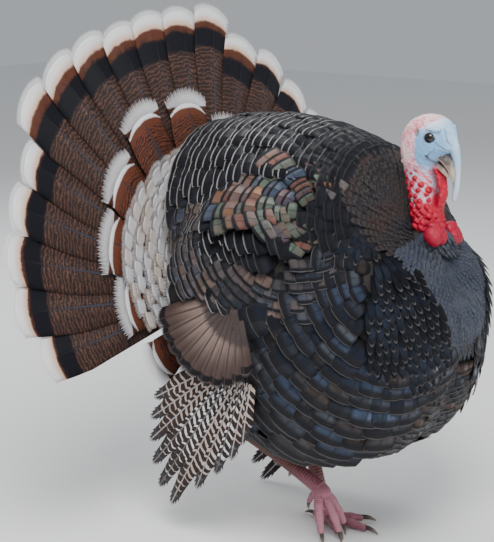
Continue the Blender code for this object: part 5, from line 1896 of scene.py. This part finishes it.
def rump_row_finish():
    """The rump's outer feathers: comb tips of white or cream over a black line and a coppery base."""
    made = PlumeFinish("rump row", 80.0, 420.0)
    level = made.tip + (made.wobble - 0.5) * 0.006
    copper = made.step(made.tone + made.wobble * 0.5, 0.5, 0.8)
    base = made.mix(copper, (0.050, 0.030, 0.028), (0.330, 0.130, 0.110))
    pale = made.mix(made.step(made.tone, 0.35, 0.9), (0.800, 0.790, 0.815), (0.760, 0.660, 0.590))
    colour = made.mix(made.step(level, 0.024, 0.021), base, (0.012, 0.010, 0.012))
    colour = made.mix(made.step(level, 0.0195, 0.0175), colour, pale)
    barbs = made.wave(made.across * 3600.0)
    colour = made.mix(made.step(barbs, 0.1, 1.0) * 0.20, colour, (0.20, 0.17, 0.17))
    made.set(Base_Color=colour, Roughness=0.6 + made.wobble * 0.2)
    made.bump(barbs, 0.0003)
    return made.material


def rump_under_finish():
    """Small coppery brown feathers with dark edges."""
    made = PlumeFinish("tail base brown", 80.0, 420.0)
    copper = made.step(made.tone + made.fine * 0.5, 0.4, 1.0)
    colour = made.mix(copper, (0.045, 0.026, 0.020), (0.160, 0.070, 0.040))
    colour = made.mix(made.step(made.tip, 0.010, 0.006) * 0.7, colour, (0.014, 0.011, 0.012))
    made.set(Base_Color=colour, Roughness=0.6 + made.fine * 0.2)
    made.bump(made.fine, 0.0003)
    return made.material


TAIL_NARROW = 5
TAIL_WEDGE = math.tan(math.radians(6.6))
TAIL_NARROWED = 0.80


def tail_feather_pieces(settings, draw):
    """Eighteen great tail feathers, each in the place and reach of its solid; the outer ones are narrower."""
    plane = tail_plane()
    finish = tail_finish(settings)
    for i in range(TAIL_FEATHERS):
        node = "tail_feather_%02d" % (i + 1)
        points = node_points(node) - TAIL_HUB
        reach = np.linalg.norm(points, axis=1).max()
        middle = points.mean(0)
        turn = math.atan2(middle.dot(plane.across), middle.dot(plane.up))
        apart = min(i, TAIL_FEATHERS - 1 - i) < TAIL_NARROW
        tone = draw.uniform(0.0, 0.25) if apart else draw.uniform(0.5, 1.0)
        half = (TAIL_WEDGE, (TAIL_NARROWED if apart else 1.0) * settings.half_breadth)
        quills = Quills()
        fan_plume(quills, plane, turn, 0.056, reach - 0.002, half, cell_of(0, 1), tone, TAIL_STYLE,
                  proud=0.0012, tilt=0.055, rows=30)
        quills.build(node, finish, [node])


# Reach of the upper coverts, in metres from the hub, at degrees from the fan's middle.
COVERT_REACHES = ((0, 0.330), (18, 0.326), (30, 0.300), (45, 0.286), (60, 0.278), (70, 0.262), (80, 0.240),
                  (97, 0.215))
UPPER_COVERTS = 9
COVERT_APART = 21.5
COVERT_LEAN = -10.0
COVERT_SIDE_EDGE = math.radians(97)
LOWER_COVERTS = 11
RUMP_REACHES = (0.238, 0.222, 0.206, 0.190, 0.174)
RUMP_FEATHERS = 27
RUMP_SPAN = math.radians(88)
BASE_ROWS = ((0.098, 0.007), (0.080, 0.012), (0.062, 0.017), (0.044, 0.022), (0.028, 0.026))
BASE_FEATHERS = 15
# Half breadths: metres to each metre from the hub, and at most.
UPPER_COVERT_HALF = (math.tan(math.radians(10.5)), 0.046)
LOWER_COVERT_HALF = (math.tan(math.radians(10.0)), 0.040)
RUMP_HALF = (math.tan(math.radians(6.5)), 0.0165)
BASE_HALF = (0.42, 0.014)
RUMP_LENGTH = 0.075
SIDE_RUMP_SHORTER = 0.040
SIDE_COVERT_LONGER = 0.085
LEFT_WING_REACH = 0.178
LEFT_WING_TURNS = (-2.2, math.radians(-68))


def clear_of_left_wing(turn, reach):
    """A reach that stays inside the drooped left wing on that side."""
    return min(reach, LEFT_WING_REACH) if LEFT_WING_TURNS[0] < turn < LEFT_WING_TURNS[1] else reach


def cell_of(column, columns, row=0, rows=1):
    """Corner and size of one cell of the OFBake map."""
    return (column / columns, row / rows, 1.0 / columns, 1.0 / rows)


def upper_coverts(plane, finish, draw):
    """The broad coverts in front of the tail feathers."""
    angles, reaches = zip(*COVERT_REACHES)
    quills = Quills()
    for i in range(UPPER_COVERTS):
        turn = math.radians(COVERT_APART * (i - UPPER_COVERTS // 2) + COVERT_LEAN)
        reach = np.interp(abs(math.degrees(turn)), angles, reaches) - draw.uniform(0.0, 0.006)
        reach = clear_of_left_wing(turn, reach)
        fan_plume(quills, plane, turn, 0.058, reach, UPPER_COVERT_HALF, cell_of(i, UPPER_COVERTS),
                  draw.random(), COVERT_STYLE, proud=0.0120, tilt=0.035, rows=22)
    quills.build("tail_coverts_upper", finish, ["tail_coverts_upper"])


def rump_rows(plane, finish, draw):
    """The rump's outer rows, each over the roots of the one outside it."""
    quills = Quills()
    for k, outer in enumerate(RUMP_REACHES):
        for i in range(RUMP_FEATHERS):
            turn = RUMP_SPAN * (2.0 * (i + 0.25 + 0.5 * (k % 2)) / RUMP_FEATHERS - 1.0)
            inward = SIDE_RUMP_SHORTER * float(ease(abs(turn), math.radians(56), math.radians(90)))
            reach = clear_of_left_wing(turn, outer - inward + draw.uniform(-0.004, 0.004))
            proud = 0.0105 + 0.0050 * k
            fan_plume(quills, plane, turn, reach - RUMP_LENGTH, reach, RUMP_HALF,
                      cell_of(i, RUMP_FEATHERS, k, len(RUMP_REACHES)), draw.random(), RUMP_STYLE,
                      proud=proud, tilt=0.10, droop=-0.006, rows=9)
    quills.build("rump_rows", finish)


def tail_base(plane, finish, draw):
    """Rings of small feathers over the tail's root, on the fan's rear face."""
    quills = Quills()
    last = len(BASE_ROWS) - 1
    for k, (reach, proud) in enumerate(BASE_ROWS):
        for i in range(BASE_FEATHERS):
            turn = math.tau * (i + 0.5 * (k % 2)) / BASE_FEATHERS
            fan_plume(quills, plane, turn, 0.006 + 0.004 * (last - k), reach, BASE_HALF,
                      cell_of(i, BASE_FEATHERS, k, len(BASE_ROWS)), draw.random(), RUMP_STYLE,
                      proud=-proud, tilt=-0.10, droop=-0.5 * proud, rows=9)
    quills.build("tail_base_back", finish)


def lower_coverts(plane, finish, draw):
    """The coverts under the fan, longest at its sides."""
    outer = np.linalg.norm(node_points("tail_coverts_lower") - TAIL_HUB, axis=1).max()
    quills = Quills()
    for i in range(LOWER_COVERTS):
        turn = math.pi + (math.pi - COVERT_SIDE_EDGE) * (2.0 * (i + 0.5) / LOWER_COVERTS - 1.0)
        side = float(ease(abs(turn - math.pi), math.radians(50), math.radians(82)))
        reach = outer - SIDE_COVERT_LONGER * (1.0 - side) - draw.uniform(0.0, 0.008)
        reach = clear_of_left_wing(turn - math.tau if turn > math.pi else turn, reach)
        fan_plume(quills, plane, turn, 0.056, reach, LOWER_COVERT_HALF, cell_of(i, LOWER_COVERTS),
                  draw.random(), COVERT_STYLE, proud=0.008, tilt=0.09, droop=0.002, rows=20)
    quills.build("tail_coverts_lower", finish, ["tail_coverts_lower"])


def covert_pieces(settings, draw):
    """The great coverts of the tail, and the rump's outer rows over their roots."""
    plane = tail_plane()
    finish = covert_finish(settings)
    upper_coverts(plane, finish, draw)
    rump_rows(plane, rump_row_finish(), draw)
    tail_base(plane, rump_under_finish(), draw)
    lower_coverts(plane, finish, draw)


# ---- wings

WING_ROOT = np.array((0.020, 0.2125, 0.345))
PRIMARY_ROOT = np.array((0.0, -0.0088, -0.015))
PRIMARY_SPAN = (208.0, 262.0)
SECONDARY_ROOT = np.array((-0.020, 0.0095, 0.055))
SECONDARY_SPAN = (198.0, 281.0)
TOE_IN = {"right": 0.020, "left": 0.100}
PRIMARY_LENGTHS = (0.232, 0.258, 0.284, 0.308, 0.328, 0.334, 0.272, 0.226, 0.188, 0.154)
SECONDARY_LENGTHS = (0.156, 0.158, 0.159, 0.158, 0.156, 0.151, 0.145, 0.137, 0.127, 0.114)


def primary_finish(settings):
    """White and blackish bars that slant outwards from a pale shaft."""
    made = PlumeFinish("primary", 60.0, 300.0)
    tip, side, tone, wobble, fine = made.tip, made.side, made.tone, made.wobble, made.fine
    bars = made.wave((tip + side * 0.75 + (wobble - 0.5) * 0.010) * 450.0)
    dark = made.mix(made.noise(9.0, 1.0), (0.010, 0.009, 0.013), (0.042, 0.026, 0.022))
    rusty = made.step(tone + wobble * 0.6, 0.5, 1.1)
    pale = made.mix(rusty, tuple(settings.bar_white), (0.600, 0.450, 0.380))
    narrow = made.step(made.noise(5.0, 1.0), 0.42, 0.60) * 0.45
    broken = bars - narrow + (fine - 0.5) * 0.8 + (wobble - 0.5) * 1.4
    colour = made.mix(made.step(broken, 0.30, 0.60), dark, pale)
    colour = made.mix(made.step(tip, 0.030, 0.010), colour, (0.050, 0.045, 0.050))
    shaft = made.step(side, 0.0013, 0.0006)
    colour = made.mix(shaft, colour, made.mix(tone, (0.160, 0.125, 0.120), (0.520, 0.480, 0.470)))
    return made.finished(colour, shaft, 0.48 + fine * 0.2, 0.8, 4200.0)


def secondary_finish(settings):
    """Satin brown, lighter along the middle, smoky at the root, with round black tips."""
    made = PlumeFinish("secondary", 60.0, 300.0)
    tip, side, fine = made.tip, made.side, made.fine
    streak = made.noise(40.0, 2.0, made.vector(made.across * 14.0, tip * 0.7, made.tone * 3.0))
    light = made.mix(streak, (0.150, 0.095, 0.080), tuple(settings.satin))
    colour = made.mix(made.step(side, 0.003, 0.014) * 0.75, light, (0.085, 0.050, 0.042))
    colour = made.mix(made.step(tip, 0.085, 0.018) * 0.82, colour, (0.042, 0.022, 0.020))
    smoke = made.step(streak + made.step(made.root, 0.066, 0.030), 0.70, 1.05)
    colour = made.mix(smoke * 0.8, colour, (0.030, 0.022, 0.024))
    colour = made.mix(made.step(tip + (fine - 0.5) * 0.003, 0.0135, 0.0110), colour, (0.006, 0.005, 0.007))
    colour = made.mix(made.step(tip, 0.0030, 0.0010) * 0.6, colour, (0.160, 0.130, 0.120))
    shaft = made.step(side, 0.0014, 0.0006)
    colour = made.mix(shaft * 0.8, colour, (0.060, 0.040, 0.036))
    return made.finished(colour, shaft, 0.42 + fine * 0.15, 0.8, 4200.0,
                         Coat_Weight=made.step(tip, 0.02, 0.06) * 0.15)


WING_ROWS = 22
WING_TILT = 0.10
WING_LAP = 0.0007


def wing_plumes(quills, side, root, lengths, span, inner, half, style, draw, order):
    """A fan of flight feathers in the wing's plane; order says how far each lies over the next."""
    sign = 1.0 if side == "left" else -1.0
    count = len(lengths)
    for i, length in enumerate(lengths):
        turn = math.radians(span[0] + (span[1] - span[0]) * (i + 0.5) / count)
        share = 1.0 - (1.0 - np.linspace(0.0, 1.0, WING_ROWS)) ** 1.3
        radius = inner + (length - style["barb_length"] - inner) * share
        sag = TOE_IN[side] * (radius / 0.3) ** 2 if style is PRIMARY_STYLE else np.zeros(len(radius))
        lap = order * WING_LAP * (i - count / 2)
        spine = np.stack([root[0] + radius * math.cos(turn), sign * (root[1] - sag + lap),
                          root[2] + radius * math.sin(turn)], 1)
        beside = np.array((-math.sin(turn), 0.0, math.cos(turn)))
        out = np.array((0.0, sign, 0.0))
        forward = unit(np.gradient(spine, axis=0))
        across = unit(np.tile(beside + out * WING_TILT * order, (WING_ROWS, 1)))
        face = unit(np.cross(across, forward))
        face *= np.sign(face @ out)[:, None]
        width = np.minimum(radius * half[0] + 0.004, half[1]) * (1.0 - style["taper"] * ease(share, 0.6, 1.0))
        plume(quills, spine, across, face, width, cell_of(i, count), draw.random(), style)


def wing_pieces(settings, draw):
    """Primaries and secondaries of both wings."""
    bars, satin = primary_finish(settings), secondary_finish(settings)
    for side in ("right", "left"):
        root = WING_ROOT + (LEFT_WING_SHIFT if side == "left" else 0.0)
        quills = Quills()
        wing_plumes(quills, side, root + PRIMARY_ROOT, PRIMARY_LENGTHS, PRIMARY_SPAN, 0.060,
                    (0.075, settings.primary_half), PRIMARY_STYLE, draw, order=0.6)
        quills.build("primaries_" + side, bars, ["primaries_" + side])
        quills = Quills()
        wing_plumes(quills, side, root + SECONDARY_ROOT, SECONDARY_LENGTHS, SECONDARY_SPAN, 0.020,
                    (0.125, settings.secondary_half), SECONDARY_STYLE, draw, order=1.0)
        quills.build("secondaries_" + side, satin, ["secondaries_" + side])


# ---- stage

def look_at(camera, place, azimuth, elevation):
    """Stands the camera at a place, looking at the bird from an azimuth and elevation."""
    turn, rise = math.radians(azimuth), math.radians(elevation)
    back = Vector((math.sin(turn) * math.cos(rise), -math.cos(turn) * math.cos(rise), math.sin(rise)))
    camera.location = place
    camera.rotation_euler = (-back).to_track_quat("-Z", "Y").to_euler()


CAMERA_PLACE = (1.179, -1.7653, 0.8815)
CAMERA_AZIMUTH = 37.0
CAMERA_ELEVATION = 13.0
LAMPS_AIM = Vector((0.0, 0.0, 0.35))
FLOOR_HALF = 6.0


def make_stage(settings):
    """Pale floor, soft lights and the camera."""
    floor_mesh = bpy.data.meshes.new("floor")
    corners = [(x * FLOOR_HALF, y * FLOOR_HALF, 0.0) for x, y in ((-1, -1), (1, -1), (1, 1), (-1, 1))]
    floor_mesh.from_pydata(corners, [], [(0, 1, 2, 3)])
    floor = linked("floor", floor_mesh)
    plaster = Finish("floor plaster", Roughness=0.9)
    plaster.shader.inputs["Base Color"].default_value = (*settings.floor, 1.0)
    floor_mesh.materials.append(plaster.material)
    world = bpy.data.worlds.new("studio")
    bpy.context.scene.world = world
    world.use_nodes = True
    world.node_tree.nodes["Background"].inputs["Color"].default_value = (0.90, 0.95, 1.0, 1.0)
    world.node_tree.nodes["Background"].inputs["Strength"].default_value = settings.sky
    for name, place, size, power in (
        ("key", (0.9, -1.4, 2.4), 1.2, settings.key),
        ("fill", (2.4, 0.2, 1.2), 1.6, settings.fill),
        ("rim", (-1.6, 1.0, 2.0), 1.4, settings.rim),
    ):
        light = bpy.data.lights.new(name, "AREA")
        light.size = size
        light.energy = power
        lamp = linked(name, light)
        lamp.location = place
        lamp.rotation_euler = (LAMPS_AIM - lamp.location).to_track_quat("-Z", "Y").to_euler()
    camera = linked("camera", bpy.data.cameras.new("camera"))
    camera.data.lens = settings.lens
    camera.data.sensor_width = 36.0
    look_at(camera, CAMERA_PLACE, CAMERA_AZIMUTH, CAMERA_ELEVATION)
    bpy.context.scene.camera = camera


# ---- the add-on: settings, one step for each group of pieces, and a panel

def size_setting(name, description, default, smallest, largest):
    """A length in metres."""
    return bpy.props.FloatProperty(name=name, description=description, default=default, min=smallest,
                                   max=largest, precision=4, subtype="DISTANCE", unit="LENGTH")


def colour_setting(name, description, default):
    """A linear colour."""
    return bpy.props.FloatVectorProperty(name=name, description=description, default=default, min=0.0,
                                         max=1.0, size=3, subtype="COLOR")


def factor_setting(name, description, default, largest):
    """A plain factor."""
    return bpy.props.FloatProperty(name=name, description=description, default=default, min=0.0, max=largest,
                                   subtype="FACTOR")


def seed_setting(default):
    """The seed of a group's random draws."""
    return bpy.props.IntProperty(name="Seed", description="Seed of this group's random draws",
                                 default=default, min=0)


def power_setting(name, description, default):
    """A lamp's power in watts."""
    return bpy.props.FloatProperty(name=name, description=description, default=default, min=0.0, unit="POWER")


class TurkeyHead(bpy.types.PropertyGroup):
    """Skin, bare head and eyes."""

    voxel: size_setting("Fineness", "Edge of the cells that the bare skin is fused from",
                        0.0012, 0.0008, 0.01)
    wart_size: factor_setting("Wart size", "Size of the neck's warts against the usual", 1.0, 3.0)
    face_blue: colour_setting("Face blue", "Lighter blue of the face", (0.330, 0.580, 0.820))
    flush: colour_setting("Flush", "Lighter red of the warts and the wattle", (0.540, 0.005, 0.042))
    bulb_red: colour_setting("Bulb red", "Lighter red of the two large bulbs", (0.500, 0.005, 0.050))
    seed: seed_setting(7)


class TurkeyCoat(bpy.types.PropertyGroup):
    """Contour feathers."""

    breadth: factor_setting("Vane breadth", "Breadth of a firm vane against its spacing", 1.66, 3.0)
    soft_breadth: factor_setting("Soft vane breadth", "Breadth of a loose vane against its spacing",
                                 1.45, 3.0)
    scatter: factor_setting("Sheen scatter", "How far neighbouring feathers differ in sheen", 0.42, 1.0)
    size_scatter: factor_setting("Size scatter", "How far neighbouring feathers differ in size", 0.08, 0.5)
    turn_scatter: factor_setting("Turn scatter", "How far feathers turn from their lie, in radians",
                                 0.06, 0.5)
    raven: colour_setting("Raven black", "Ground colour of the body feathers", (0.010, 0.010, 0.014))
    seed: seed_setting(7)


class TurkeyTail(bpy.types.PropertyGroup):
    """Tail fan and its coverts."""

    half_breadth: size_setting("Half breadth", "Half breadth of a middle tail feather", 0.045, 0.01, 0.08)
    tip_white: colour_setting("Tip", "Colour of the tail feathers' tips", (0.900, 0.890, 0.900))
    chestnut: colour_setting("Chestnut", "Colour of the band inside the tips", (0.115, 0.036, 0.019))
    covert_white: colour_setting("Covert tip", "Colour of the coverts' tips", (0.840, 0.830, 0.850))
    seed: seed_setting(11)


class TurkeyWings(bpy.types.PropertyGroup):
    """Flight feathers."""

    primary_half: size_setting("Primary half breadth", "Half breadth of a primary", 0.0165, 0.005, 0.04)
    secondary_half: size_setting("Secondary half breadth", "Half breadth of a secondary", 0.0165, 0.005, 0.04)
    bar_white: colour_setting("Pale bars", "Pale bars of the primaries", (0.820, 0.800, 0.810))
    satin: colour_setting("Satin brown", "Lighter brown of the secondaries", (0.420, 0.310, 0.265))
    seed: seed_setting(13)


class TurkeyLegs(bpy.types.PropertyGroup):
    """Tarsi, toes, claws, spurs and bill."""

    scute: size_setting("Tarsus plate", "Length of one plate on the tarsus", 0.0046, 0.001, 0.02)
    toe_scute: size_setting("Toe plate", "Length of one plate on a toe", 0.0026, 0.001, 0.02)
    tarsus_red: colour_setting("Tarsus", "Lighter brown red of the tarsi", (0.180, 0.056, 0.042))
    toe_pink: colour_setting("Toes", "Lighter pink of the toes", (0.500, 0.190, 0.250))


class TurkeyStage(bpy.types.PropertyGroup):
    """Floor, lights and camera."""

    floor: colour_setting("Floor", "Colour of the floor", (0.860, 0.860, 0.860))
    sky: factor_setting("Sky", "Strength of the even light from all round", 0.45, 2.0)
    key: power_setting("Key light", "Power of the light over the camera's shoulder", 80.0)
    fill: power_setting("Fill light", "Power of the light from ahead of the bird", 22.0)
    rim: power_setting("Rim light", "Power of the light from behind", 34.0)
    lens: bpy.props.FloatProperty(name="Lens", description="Focal length", default=98.6, min=20.0,
                                  unit="CAMERA")


GROUPS = {"turkey_head": TurkeyHead, "turkey_coat": TurkeyCoat, "turkey_tail": TurkeyTail,
          "turkey_wings": TurkeyWings, "turkey_legs": TurkeyLegs, "turkey_stage": TurkeyStage}
HIDES = {}


class TURKEY_OT_skin(bpy.types.Operator):
    """Make the one skin, from the bill's root to the tail"""

    bl_idname = "turkey.skin"
    bl_label = "Skin and bare head"

    def execute(self, context):
        settings = context.scene.turkey_head
        body = body_hide()
        HIDES["body"] = Hide(body)
        whole_skin(body, settings, np.random.default_rng(settings.seed))
        return {"FINISHED"}


class TURKEY_OT_eyes(bpy.types.Operator):
    """Make both eyes"""

    bl_idname = "turkey.eyes"
    bl_label = "Eyes"

    def execute(self, context):
        eye_pieces()
        return {"FINISHED"}


class TURKEY_OT_bill(bpy.types.Operator):
    """Make the upper and lower bill"""

    bl_idname = "turkey.bill"
    bl_label = "Bill"

    def execute(self, context):
        bill_pieces()
        return {"FINISHED"}


class TURKEY_OT_legs(bpy.types.Operator):
    """Make the tarsi, feet, claws and spurs"""

    bl_idname = "turkey.legs"
    bl_label = "Legs"

    def execute(self, context):
        leg_pieces(context.scene.turkey_legs)
        return {"FINISHED"}


class TURKEY_OT_coat(bpy.types.Operator):
    """Set the contour feathers on the skin"""

    bl_idname = "turkey.coat"
    bl_label = "Contour feathers"

    def execute(self, context):
        if "body" not in HIDES:
            raise RuntimeError("the contour feathers need the skin, which is made first")
        settings = context.scene.turkey_coat
        coat_pieces(HIDES["body"], settings, np.random.default_rng(settings.seed))
        return {"FINISHED"}


class TURKEY_OT_tail(bpy.types.Operator):
    """Make the tail feathers"""

    bl_idname = "turkey.tail"
    bl_label = "Tail feathers"

    def execute(self, context):
        settings = context.scene.turkey_tail
        tail_feather_pieces(settings, np.random.default_rng(settings.seed))
        return {"FINISHED"}


class TURKEY_OT_coverts(bpy.types.Operator):
    """Make the tail's coverts and the rump's outer rows"""

    bl_idname = "turkey.coverts"
    bl_label = "Tail coverts"

    def execute(self, context):
        settings = context.scene.turkey_tail
        covert_pieces(settings, np.random.default_rng(settings.seed + 1))
        return {"FINISHED"}


class TURKEY_OT_wings(bpy.types.Operator):
    """Make the primaries and secondaries"""

    bl_idname = "turkey.wings"
    bl_label = "Flight feathers"

    def execute(self, context):
        settings = context.scene.turkey_wings
        wing_pieces(settings, np.random.default_rng(settings.seed))
        return {"FINISHED"}


class TURKEY_OT_stage(bpy.types.Operator):
    """Set the floor, the lights and the camera"""

    bl_idname = "turkey.stage"
    bl_label = "Stage"

    def execute(self, context):
        make_stage(context.scene.turkey_stage)
        return {"FINISHED"}


STEPS = (TURKEY_OT_skin, TURKEY_OT_eyes, TURKEY_OT_bill, TURKEY_OT_legs, TURKEY_OT_coat, TURKEY_OT_tail,
         TURKEY_OT_coverts, TURKEY_OT_wings, TURKEY_OT_stage)


class TURKEY_PT_panel(bpy.types.Panel):
    """Lists every setting and step"""

    bl_idname = "TURKEY_PT_panel"
    bl_label = "Strutting Wild Turkey"
    bl_space_type = "VIEW_3D"
    bl_region_type = "UI"
    bl_category = "Turkey"

    def draw(self, context):
        for label, group in GROUPS.items():
            box = self.layout.box()
            box.label(text=group.__name__.replace("Turkey", ""))
            for setting in group.__annotations__:
                box.prop(getattr(context.scene, label), setting)
        for step in STEPS:
            self.layout.operator(step.bl_idname)


def register():
    """Registers the settings, the steps and the panel."""
    for group in (*GROUPS.values(), *STEPS, TURKEY_PT_panel):
        bpy.utils.register_class(group)
    for label, group in GROUPS.items():
        setattr(bpy.types.Scene, label, bpy.props.PointerProperty(type=group))


def unregister():
    """Takes back what register did."""
    for label in GROUPS:
        delattr(bpy.types.Scene, label)
    for group in reversed((*GROUPS.values(), *STEPS, TURKEY_PT_panel)):
        bpy.utils.unregister_class(group)


def main():
    """Registers the add-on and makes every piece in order."""
    register()
    bpy.ops.turkey.skin()
    bpy.ops.turkey.eyes()
    bpy.ops.turkey.bill()
    bpy.ops.turkey.legs()
    bpy.ops.turkey.coat()
    bpy.ops.turkey.tail()
    bpy.ops.turkey.coverts()
    bpy.ops.turkey.wings()
    bpy.ops.turkey.stage()


if __name__ == "__main__":
    main()
